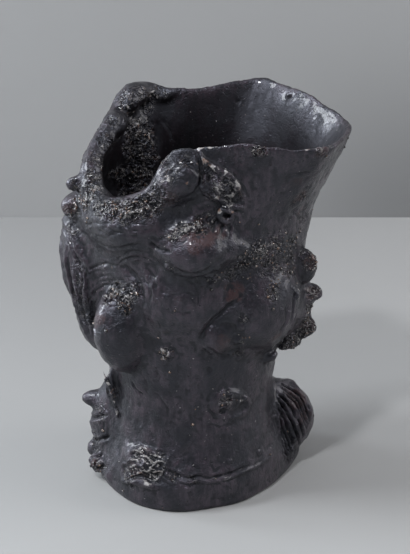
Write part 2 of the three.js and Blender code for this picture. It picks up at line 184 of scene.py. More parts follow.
# The bare trunk, before its burls
trunk = {
    "height": 173.0,
    "wallAtRim": 1.8,
    "wallBelow": 8.0,
    "wallRun": 30.0,
    "floor": 12.0,
    "floorFillet": 5.0,
    "skirtHeight": 12.0,
    "skirtRun": 34.0,
    "skirtPower": 2.4,
    "flareStart": 0.76,
    "flareEnd": 1.12,
    "rimSlant": 0.8,
    "lipRound": 1.2,
    "footRound": 1.6,
    "mouthWear": 5.0,
    "footWear": 9.0,
    "boreWear": 9.0,
    "holeRadius": 24.3,
    "holeTaper": 1.54,
    "holeOver": 2.0,
    # share of the height, then the section's centre and half sizes
    "sections": [
        (0.0, -3, -1, 39, 40), (0.12, -4.5, 0, 37, 37.5), (0.26, -6, 0, 36.5, 36), (0.4, -6, 0, 39, 37),
        (0.54, -4, 1, 45, 39), (0.74, -5, 2, 52.5, 41), (0.84, -1, 2, 54, 41), (1.0, 5, 3, 54, 41),
    ],
    "mouth": [
        (66, -5), (47, 25), (28, 50), (2, 42), (-14, 38), (-29, 45), (-38, 31), (-43, 10), (-50, -9),
        (-41, -35), (-10, -37), (55, -37),
    ],
    "foot": [
        (40, -2), (46, 18), (36, 36), (5, 43), (-30, 36), (-53, 7), (-43.5, -22), (-31, -39), (-12, -46),
        (16, -37), (31, -20),
    ],
    # angle seen from above with the front at -90, and how far the rim falls there
    "rim": [
        (-180, 19), (-173, 21.5), (-168, 25.5), (-160, 29.5), (-150, 32), (-143, 32), (-136, 30),
        (-131, 28.5), (-125, 26), (-121, 21.5), (-118.5, 15.5), (-116.5, 9.5), (-113, 6.5), (-106, 5),
        (-90, 3.7), (-73, 2.6), (-58, 4.5), (-46, 5.5), (-38, 5.8), (-5, 5.5), (8, 3.2), (30, 0.8),
        (67, 0.6), (100, 3), (120, 3), (130, 1), (140, 0), (146, 3.0), (151, 7.5), (157, 8.5), (163, 10.5),
        (169, 13), (174, 16), (180, 19),
    ],
    # angle, thickness and lift of the gnarled roll along the low part of the rim
    "roll": [
        (112, 0, 0), (122, 3.0, -1), (130, 4.6, 0), (136, 5.4, 0.8), (144, 5.0, 0.4), (150, 2.6, -2.6),
        (155, 4.8, -0.2), (160, 5.6, 1.2), (166, 4.4, 0.2), (174, 4.6, 0), (181, 4.4, 0), (188, 5.0, 0.4),
        (197, 5.2, 0), (206, 5.4, 0), (216, 5.2, 0), (224, 4.8, 0), (231, 3.8, 0), (238, 2.8, 0),
        (246, 2.0, -0.5), (256, 0, -1),
    ],
    # the roll's pitch in degrees, how far its middle sinks and stands out as shares of its
    # thickness, and the run over which it melts in
    "rollStep": 2.5,
    "rollSink": 0.9,
    "rollProud": 0.25,
    "rollBlend": 2.5,
}


def sectionAt(z):
    share = np.asarray(z, float) / trunk["height"]
    rows = np.array(trunk["sections"])
    return [np.interp(share, rows[:, 0], rows[:, column]) for column in range(1, 5)]


# Distance from a centre to a cornered outline in each direction.
def outlineRadius(corners, centre, angles):
    corners = np.array(corners, float) - np.array(centre)
    side = np.roll(corners, -1, axis=0) - corners
    dx = np.cos(angles)[:, None]
    dy = np.sin(angles)[:, None]
    across = dx * side[:, 1] - dy * side[:, 0]
    reach = (corners[:, 0] * side[:, 1] - corners[:, 1] * side[:, 0]) / across
    along = (corners[:, 0] * dy - corners[:, 1] * dx) / across
    hit = (reach > 0) & (along >= 0) & (along <= 1)
    return np.where(hit, reach, farAway).min(axis=1)


# The same outline with its corners worn round, as a mean over wear degrees to each side. The
# hundredth of a degree keeps its lines off the corners.
def wornOutline(corners, centre, angles, wear):
    steps = np.array([-1.0, -0.5, 0.0, 0.5, 1.0]) * wear
    rows = [outlineRadius(corners, centre, angles + math.radians(step + 0.01)) for step in steps]
    return sum(rows) / len(rows)


def bareRadius(angles, z, wear):
    cx, cy, halfWidth, halfDepth = sectionAt(z)
    radius = 1.0 / np.hypot(np.cos(angles) / halfWidth, np.sin(angles) / halfDepth)
    start = trunk["flareStart"]
    end = trunk["flareEnd"]
    flare = smoothStep(z / trunk["height"], start, end) / smoothStep(1.0, start, end)
    if flare > 0:
        radius = radius + (wornOutline(trunk["mouth"], (cx, cy), angles, wear) - radius) * flare
    above = (z - trunk["skirtHeight"]) / trunk["skirtRun"]
    foot = np.clip(1.0 - above, 0.0, 1.0) ** trunk["skirtPower"]
    if foot > 0:
        skirt = wornOutline(trunk["foot"], (cx, cy), angles, trunk["footWear"])
        radius = radius + (skirt - radius) * foot
    return radius


def rimHeight(angles):
    rows = np.array(trunk["rim"], float)
    degrees = (np.degrees(angles) + 180.0) % 360.0 - 180.0
    upper = np.clip(np.searchsorted(rows[:, 0], degrees), 1, len(rows) - 1)
    low = rows[upper - 1]
    high = rows[upper]
    mix = smoothStep(degrees, low[..., 0], high[..., 0])
    return trunk["height"] - (low[..., 1] + (high[..., 1] - low[..., 1]) * mix)


# The wall is thin at the rim and thickens within a short way under it.
def wallUnder(depth):
    share = 1.0 - (1.0 - np.clip(depth / trunk["wallRun"], 0.0, 1.0)) ** 2
    return trunk["wallAtRim"] + (trunk["wallBelow"] - trunk["wallAtRim"]) * share


def trunkPoint(angle, z, reach=0.0):
    turn = math.radians(angle)
    cx, cy, _, _ = sectionAt(z)
    radius = bareRadius(np.array([turn]), z, trunk["mouthWear"])[0] + reach
    return np.array([cx + radius * math.cos(turn), cy + radius * math.sin(turn), z])


# Burls and knobs swell out of the trunk and melt into it. Each row has its angle, its share of the
# height, its full width and height on the trunk, how far its tip stands out, its half size along
# that way, the tilt that turns it on the trunk, and the run over which it melts in.
burls = [
    (-140, 0.468, 25, 41, 13.5, 16, 4, 2.5),
    (-179, 0.62, 34, 72, 11.5, 22, 8, 4),
    (-175, 0.46, 20, 40, 11, 18, 14, 3),
    (-140, 0.762, 46, 34, 6, 22, 0, 7),
    (-108, 0.886, 27, 19, 6.5, 10, 46, 3.5),
    (-83, 0.885, 22, 21, 3.4, 9, 28, 2),
    (-88, 0.708, 33, 25, 10.5, 17, 6, 5),
    (-93, 0.724, 28, 11, 8.5, 13, 16, 4),
    (-104, 0.57, 46, 40, 5, 22, 0, 9),
    (-74, 0.475, 21, 20, 4.5, 10, -30, 1.5),
    (-35, 0.53, 46, 48, 8.5, 20, -8, 5),
    (0, 0.485, 46, 42, 10.4, 22, 0, 3),
    (-52, 0.7, 44, 16, 2.5, 12, -12, 5),
    (-64, 0.29, 16, 13, 3.4, 9, 0, 3),
    (-124, 0.115, 26, 13, 4, 12, 0, 3),
    (10, 0.12, 30, 46, 13, 26, 14, 3),
    (-177, 0.13, 30, 56, 6.5, 18, 0, 4),
    (-157, 0.28, 5, 27, 5, 9, -6, 1.5),
    (118, 0.62, 40, 46, 9, 20, -12, 6),
    (78, 0.42, 26, 38, 8, 18, 16, 5),
    (50, 0.72, 32, 28, 7, 18, 0, 6),
    (128, 0.1, 34, 34, 8, 20, 0, 6),
    (146, 0.96, 30, 22, 3, 14, 0, 4),
    # knobs
    (-14, 0.603, 9, 17, 8, 6, 8, 1.5),
    (-8, 0.519, 9.5, 9.5, 13.0, 7, 0, 2.4),
    (-8, 0.424, 11, 11, 16.0, 8, 0, 2.5),
    (-16, 0.398, 9, 8, 11.6, 7, 0, 1.5),
    (-28, 0.375, 8, 7, 4.5, 6, 0, 1.5),
    (24, 0.47, 9, 11, 12.5, 8, 0, 2),
    (-169, 0.822, 5, 8, 7, 7, -8, 1.5),
    (-172, 0.755, 11, 11, 6.5, 6, 0, 3),
    (180, 0.2, 8.5, 7.5, 13.5, 7.5, 0, 2.5),
    (-178, 0.13, 13, 11, 7.5, 8, 0, 2),
    (-178, 0.06, 11, 9, 4, 6, 0, 1.5),
    (-166, 0.045, 11, 9, 6, 5, 0, 1.5),
    (-155, 0.035, 10, 8, 2, 5, 0, 2),
    (96, 0.66, 11, 13, 5, 6, 0, 2),
    (140, 0.47, 10, 10, 6, 6, 0, 2),
]

# The grid that the trunk is carved on, and the margins of the blocks that burls and ropes change
grid = {
    "low": (-70.0, -56.0, -3.0),
    "high": (71.0, 58.0, 179.0),
    "cell": 0.62,
    "turns": 720,
    "burlMargin": 2.0,
    "ropeMargin": 1.5,
}
gridLow = np.array(grid["low"])
gridTicks = [np.arange(low, high, grid["cell"]) for low, high in zip(grid["low"], grid["high"])]
wheel = np.linspace(-math.pi, math.pi, grid["turns"] + 1)
wheelLevels = np.clip(gridTicks[2], 0.0, trunk["height"])


def radiusTable(wear):
    return np.stack([bareRadius(wheel, level, wear) for level in wheelLevels], axis=1)


bareTable = radiusTable(trunk["mouthWear"])
boreTable = radiusTable(trunk["boreWear"])


# The part of the grid within margin of a middle, and its offsets from the middle.
def blockRound(middle, margin):
    spans = []
    offsets = []
    for ticks, centre, reach in zip(gridTicks, middle, margin):
        span = slice(np.searchsorted(ticks, centre - reach), np.searchsorted(ticks, centre + reach))
        spans.append(span)
        offsets.append(ticks[span] - centre)
    return tuple(spans), offsets[0][:, None, None], offsets[1][None, :, None], offsets[2][None, None, :]


def addBurl(field, angle, at, wide, high, proud, deep, tilt, blend):
    half = np.array([deep, wide / 2, high / 2])
    centre = trunkPoint(angle, at * trunk["height"], proud - deep)
    turn = math.radians(angle)
    lean = math.radians(tilt)
    out = np.array([math.cos(turn), math.sin(turn), 0.0])
    sideways = np.array([-math.sin(turn), math.cos(turn), 0.0])
    up = np.array([0.0, 0.0, 1.0])
    across = sideways * math.cos(lean) + up * math.sin(lean)
    along = up * math.cos(lean) - sideways * math.sin(lean)
    axes = np.stack([out, across, along])
    margin = np.sqrt(((axes * half[:, None]) ** 2).sum(axis=0)) + blend + grid["burlMargin"]
    block, dx, dy, dz = blockRound(centre, margin)
    size = 0.0
    steep = 0.0
    for axis, length in zip(axes, half):
        place = (dx * axis[0] + dy * axis[1] + dz * axis[2]) / length
        size = size + place**2
        steep = steep + (place / length) ** 2
    size = np.sqrt(size)
    distance = size * (size - 1.0) / np.sqrt(np.maximum(steep, 1e-9))
    field[block] = smoothUnion(field[block], distance, blend)


# The block of the grid round a line, and each grid point's distance to the rope on it.
def ropeDistance(field, line, radii, blend):
    low = (line - radii[:, None]).min(axis=0) - blend - grid["ropeMargin"]
    high = (line + radii[:, None]).max(axis=0) + blend + grid["ropeMargin"]
    middle = (low + high) / 2
    block, dx, dy, dz = blockRound(middle, (high - low) / 2)
    best = np.full(field[block].shape, farAway, np.float32)
    for start, end, thick, thin in zip(line[:-1], line[1:], radii[:-1], radii[1:]):
        side = end - start
        x = dx + (middle[0] - start[0])
        y = dy + (middle[1] - start[1])
        z = dz + (middle[2] - start[2])
        share = np.clip((x * side[0] + y * side[1] + z * side[2]) / max(side @ side, 1e-6), 0.0, 1.0)
        gap = np.sqrt((x - share * side[0]) ** 2 + (y - share * side[1]) ** 2 + (z - share * side[2]) ** 2)
        best = np.minimum(best, gap - (thick + (thin - thick) * share))
    return block, best


def addRope(field, line, radii, blend):
    block, rope = ropeDistance(field, line, radii, blend)
    field[block] = smoothUnion(field[block], rope, blend)


def cutRope(field, line, radii, blend):
    block, rope = ropeDistance(field, line, radii, blend)
    field[block] = smoothMeet(field[block], -rope, blend)


def sampleField(field, points):
    scaled = (points - gridLow) / grid["cell"]
    base = np.clip(np.floor(scaled).astype(int), 0, np.array(field.shape) - 2)
    local = np.clip(scaled - base, 0.0, 1.0)
    total = np.zeros(len(points))
    for offset in cubeCorners:
        weight = np.prod(np.where(offset == 1, local, 1.0 - local), axis=1)
        total += field[tuple((base + offset).T)] * weight
    return total


def fieldSlope(field, points, reach=1.0):
    columns = []
    for axis in range(3):
        step = np.zeros(3)
        step[axis] = reach
        columns.append(sampleField(field, points + step) - sampleField(field, points - step))
    return unit(np.stack(columns, axis=1))


# How near the wood a walk stops, the share of the distance that a stride takes, and the least stride
walk = {"near": 0.02, "stride": 0.6, "least": 0.08, "roundReach": 90.0}


# Walks from each start until it meets the wood, or to where it passes closest.
def walkIn(field, starts, ways, reach):
    travel = np.zeros(len(starts))
    closest = np.full(len(starts), farAway)
    best = np.zeros(len(starts))
    going = np.ones(len(starts), bool)
    while going.any() and travel.min() < reach:
        value = sampleField(field, starts + ways * travel[:, None])
        nearer = going & (value < closest)
        closest[nearer] = value[nearer]
        best[nearer] = travel[nearer]
        going &= (value > walk["near"]) & (travel < reach)
        travel = np.where(going, travel + np.maximum(value * walk["stride"], walk["least"]), travel)
    return starts + ways * best[:, None]


# Points of the skin under marks on the picture plane.
def seenPoints(field, marks):
    marks = np.asarray(marks, float)
    plane = viewTarget + marks[:, :1] * viewRight + marks[:, 1:2] * viewUp
    ways = unit(plane - viewEye)
    starts = viewEye + ways * (view["distance"] - view["walkStart"])
    return walkIn(field, starts, ways, view["walkReach"])


# Points of the skin at angles and shares of the height, met from outside.
def roundPoints(field, places):
    places = np.asarray(places, float)
    turns = np.radians(places[:, 0])
    z = places[:, 1] * trunk["height"]
    cx, cy, _, _ = sectionAt(z)
    ways = np.stack([-np.cos(turns), -np.sin(turns), np.zeros(len(turns))], axis=1)
    starts = np.stack([cx, cy, z], axis=1) - ways * walk["roundReach"]
    return walkIn(field, starts, ways, walk["roundReach"])


# A curve through the points, with steps points to each stretch.
def smoothLine(points, steps=4):
    points = np.asarray(points, float)
    if len(points) < 3:
        shares = np.linspace(0.0, 1.0, steps * 2)[:, None]
        return points[0] + (points[-1] - points[0]) * shares
    before = np.concatenate([[2 * points[0] - points[1]], points, [2 * points[-1] - points[-2]]])
    rows = []
    for a, b, c, d in zip(before[:-3], before[1:-2], before[2:-1], before[3:]):
        for t in np.arange(steps) / steps:
            bend = (2 * a - 5 * b + 4 * c - d) * t * t
            twist = (3 * b - a - 3 * c + d) * t**3
            rows.append(0.5 * (2 * b + (c - a) * t + bend + twist))
    rows.append(points[-1])
    return np.array(rows)


# The middle line of the gnarled roll along the low rim, and its thickness.
def rollLine():
    rows = np.array(trunk["roll"], float)
    angles = np.arange(rows[0, 0], rows[-1, 0] + 1, trunk["rollStep"])
    thick = np.interp(angles, rows[:, 0], rows[:, 1])
    lift = np.interp(angles, rows[:, 0], rows[:, 2])
    line = []
    for angle, radius, rise in zip(angles, thick, lift):
        top = float(rimHeight(np.array([math.radians(angle)]))[0])
        level = top - radius * trunk["rollSink"]
        point = trunkPoint(angle, level, trunk["rollProud"] * radius - radius)
        line.append(point + np.array([0, 0, rise]))
    return np.array(line), thick


# Folds are ropes laid on the skin, and gouges are ropes taken out of it. Each has its thickness,
# how far its middle lies above the skin, the run over which it melts in, and its line, which is
# seen from the front.
folds = [
    # crest of the front lobe
    (3.0, -1.4, 4.0, [(-16, 16.5), (-13, 18.5), (-8.5, 20.5), (-4, 22.5), (1, 24)]),
    # rim of the leaf
    (1.5, 0.5, 1.4, [(-3.6, 55.7), (-0.4, 51.7), (3.1, 49.9), (7.6, 47.2), (11.6, 44.1), (14.7, 40.1),
                     (16.9, 35.5)]),
    (1.1, 0.4, 1.2, [(-2.2, 40.1), (2.2, 37), (7.6, 33.8), (12.9, 31.6), (17.4, 31)]),
    # ring of the knothole under the leaf
    (1.5, 1.2, 0.5, [(12.3, 28.5), (11.4, 30.6), (9.4, 31.4), (7.4, 30.6), (6.5, 28.5), (7.4, 26.4),
                     (9.4, 25.6), (11.4, 26.4), (12.3, 28.5)]),
    # fan of wrinkles that runs from the knothole
    (0.8, 0.5, 0.6, [(6.2, 28), (3.2, 25), (1.6, 21)]),
    (0.8, 0.5, 0.6, [(7.4, 26), (5.6, 22.6), (5, 18.8)]),
    (0.8, 0.5, 0.6, [(9.4, 25), (9, 21.6), (9.4, 17.8)]),
    # bright lips of the low rim
    (0.9, 0.7, 0.8, [(-52.1, 44.5), (-50.3, 41.4), (-46.8, 38.7)]),
    (0.9, 0.7, 0.8, [(-46.3, 32), (-42.3, 33.4), (-39.2, 31.2)]),
    (0.8, 0.5, 0.8, [(-37.5, 30.5), (-33.5, 28.5), (-29.5, 29.5), (-27, 28)]),
    # ring of the low wart
    (0.7, 0.1, 1.6, [(4, -57), (7, -53), (12, -51.5), (17, -53), (19.5, -56.5), (17, -60.5), (11.5, -62.5),
                     (6.5, -61.5), (4, -57)]),
    # folds down the wing
    (1.1, 0.2, 1.4, [(-62, 14), (-61.5, 6), (-60, -2), (-58, -10), (-55.5, -18), (-53, -25)]),
    (0.9, 0.1, 1.2, [(-58.5, 8), (-58, 1), (-56.8, -6), (-55, -13)]),
    (1.0, 0.1, 1.2, [(-64, 18), (-64, 10), (-63, 2), (-61, -6)]),
    # splinter at the left of the neck
    (0.9, 1.0, 0.7, [(-44.5, -41.9), (-43.2, -47), (-41, -53), (-38.7, -59.5), (-38, -63)]),
    (0.7, 0.6, 0.7, [(-42.3, -43), (-40.8, -49), (-38.6, -55), (-37, -61)]),
    # edge of the wing
    (1.0, 0.2, 1.4, [(-63, 26), (-61, 23), (-58.8, 18.7), (-57, 14.3), (-55.7, 10.7), (-53, 6.7),
                     (-51, 2.5)]),
    (1.1, 0.3, 1.4, [(-55, 4), (-53.5, -4), (-53, -12), (-51.5, -19), (-50.3, -26)]),
    # raised edge of the root fin
    (1.5, 0.0, 1.6, [(33, -47), (38, -46.5), (42.3, -51.6), (46.3, -58.5), (46.8, -62)]),
    # crest of the torn bark
    (1.0, 0.3, 1.2, [(-33, -78.5), (-29, -76.5), (-24, -77.5), (-19, -81.5), (-17, -85.5)]),
    (1.2, 0.4, 1.2, [(-37, -90.5), (-31, -91), (-26, -92.5), (-22.5, -93)]),
]
gouges = [
    # the dark cleft beside the hanging burl
    (1.5, 0.0, 1.2, [(-37.9, 4.5), (-34.7, 3.4), (-32.3, 0.9), (-30.3, -2), (-28.7, -5.5), (-27.8, -9.5),
                     (-27.4, -13)]),
    # edge of the pointed burl
    (0.8, 0.3, 2.0, [(16, -8), (12, -12), (7.6, -15.6), (3.5, -19.5), (0.2, -23), (-1.2, -27)]),
    # groove beside the notch
    (1.4, 0.2, 1.5, [(-21.5, 68), (-21, 60), (-21.5, 53)]),
]
# How a rope's thickness grows from its ends: the steps, the share at the very end, and the gain
foldEnds = (6, 0.35, 0.65)
gougeEnds = (5, 0.3, 0.5)


def layRopes(body, ropes, lay, steps, least, gain):
    for thickness, lift, blend, line in ropes:
        marks = seenPoints(body, smoothLine(line))
        marks = marks + fieldSlope(body, marks) * lift
        ends = np.minimum(np.linspace(0, steps, len(marks)), np.linspace(steps, 0, len(marks)))
        lay(body, marks, thickness * np.clip(least + ends * gain, 0.0, 1.0), blend)


# The trunk as signed distances in millimetres, below zero inside the wood.
def carveTrunk():
    x, y, z = gridTicks
    outer = np.empty((len(x), len(y), len(z)), np.float32)
    inner = np.empty_like(outer)
    top = np.empty_like(outer)
    rise = np.gradient(bareTable, z, axis=1)
    sweep = np.gradient(bareTable, wheel, axis=0) / bareTable
    steep = np.sqrt(1.0 + rise**2 + sweep**2)
    for k, level in enumerate(z):
        cx, cy, _, _ = sectionAt(wheelLevels[k])
        dx = x[:, None] - cx
        dy = y[None, :] - cy
        turn = np.arctan2(dy, dx)
        radius = np.hypot(dx, dy)
        slant = np.interp(turn, wheel, steep[:, k])
        under = rimHeight(turn) - level
        wall = wallUnder(under)
        outer[:, :, k] = (radius - np.interp(turn, wheel, bareTable[:, k])) / slant
        inner[:, :, k] = (radius - np.interp(turn, wheel, boreTable[:, k]) + wall) / slant
        top[:, :, k] = -under * trunk["rimSlant"]
    for burl in burls:
        addBurl(outer, *burl)
    print("burls grown")
    body = smoothMeet(outer, top, trunk["lipRound"])
    bore = smoothMeet(inner, trunk["floor"] - z[None, None, :], trunk["floorFillet"])
    body = smoothMeet(body, -bore, trunk["lipRound"])
    addRope(body, *rollLine(), trunk["rollBlend"])
    layRopes(body, folds, addRope, *foldEnds)
    layRopes(body, gouges, cutRope, *gougeEnds)
    body = smoothMeet(body, -np.broadcast_to(z[None, None, :], body.shape), trunk["footRound"])
    holeRadius = trunk["holeRadius"] - trunk["holeTaper"] * z / trunk["floor"]
    gap = np.hypot(x[:, None] - plugCentre[0], y[None, :] - plugCentre[1])
    hole = np.maximum(gap[:, :, None] - holeRadius, z - trunk["floor"] - trunk["holeOver"])
    return np.maximum(body, -hole).astype(np.float32)


# Points and quads of the field's zero surface, one point to each cell that it crosses.
def skinField(field):
    inside = field < 0
    count = np.zeros(np.array(field.shape) - 1, np.uint8)
    for i, j, k in cubeCorners:
        count += inside[i : i + count.shape[0], j : j + count.shape[1], k : k + count.shape[2]]
    active = (count > 0) & (count < 8)
    cells = np.argwhere(active)
    number = np.full(active.shape, -1, np.int32)
    number[active] = np.arange(len(cells))
    total = np.zeros((len(cells), 3))
    crossings = np.zeros(len(cells))
    for axis in range(3):
        for step in range(4):
            start = np.zeros(3, int)
            start[(axis + 1) % 3] = step & 1
            start[(axis + 2) % 3] = step >> 1
            end = start.copy()
            end[axis] = 1
            a = field[tuple((cells + start).T)]
            b = field[tuple((cells + end).T)]
            crossed = (a < 0) != (b < 0)
            share = a[crossed] / (a[crossed] - b[crossed])
            total[crossed] += start + share[:, None] * (end - start)
            crossings[crossed] += 1
    points = gridLow + (cells + total / crossings[:, None]) * grid["cell"]
    quads = []
    for axis in range(3):
        first = [slice(1, -1)] * 3
        second = [slice(1, -1)] * 3
        first[axis] = slice(0, -1)
        second[axis] = slice(1, None)
        a = inside[tuple(first)]
        b = inside[tuple(second)]
        for leaving in (True, False):
            found = np.argwhere((a & ~b) if leaving else (~a & b))
            found[:, (axis + 1) % 3] += 1
            found[:, (axis + 2) % 3] += 1
            ring = []
            for back, over in ((1, 1), (0, 1), (0, 0), (1, 0)):
                cell = found.copy()
                cell[:, (axis + 1) % 3] -= back
                cell[:, (axis + 2) % 3] -= over
                ring.append(number[tuple(cell.T)])
            ring = np.stack(ring, axis=1)
            quads.append(ring if leaving else ring[:, ::-1])
    return points, np.concatenate(quads)


# How the skin is drawn to the surface and evened out, and how many triangles it ends with
skinning = {
    "drawRounds": 2,
    "drawShare": 0.8,
    "evenRounds": 4,
    "evenShare": 0.6,
    "slopeReach": 2,
    "slopeRounds": 2,
    "triangles": 194000,
}
field = carveTrunk()
skinPoints, skinQuads = skinField(field)
for _ in range(skinning["drawRounds"]):
    slope = fieldSlope(field, skinPoints, grid["cell"])
    skinPoints = skinPoints - slope * sampleField(field, skinPoints)[:, None] * skinning["drawShare"]


# Each point's mean of its neighbours, along pairs that hold every edge both ways
def neighbourMean(values, pairs):
    counts = np.maximum(np.bincount(pairs[:, 0], minlength=len(values)), 1)[:, None]
    columns = [np.bincount(pairs[:, 0], column[pairs[:, 1]], len(values)) for column in values.T]
    return np.stack(columns, axis=1) / counts


skinPairs = np.concatenate([skinQuads[:, [side, (side + 1) % 4]] for side in range(4)])
for _ in range(skinning["evenRounds"]):
    skinPoints = skinPoints + (neighbourMean(skinPoints, skinPairs) - skinPoints) * skinning["evenShare"]
skinOut = fieldSlope(field, skinPoints, grid["cell"] * skinning["slopeReach"])
for _ in range(skinning["slopeRounds"]):
    skinOut = unit(neighbourMean(skinOut, skinPairs))
print("trunk skinned:", len(skinPoints), "points")

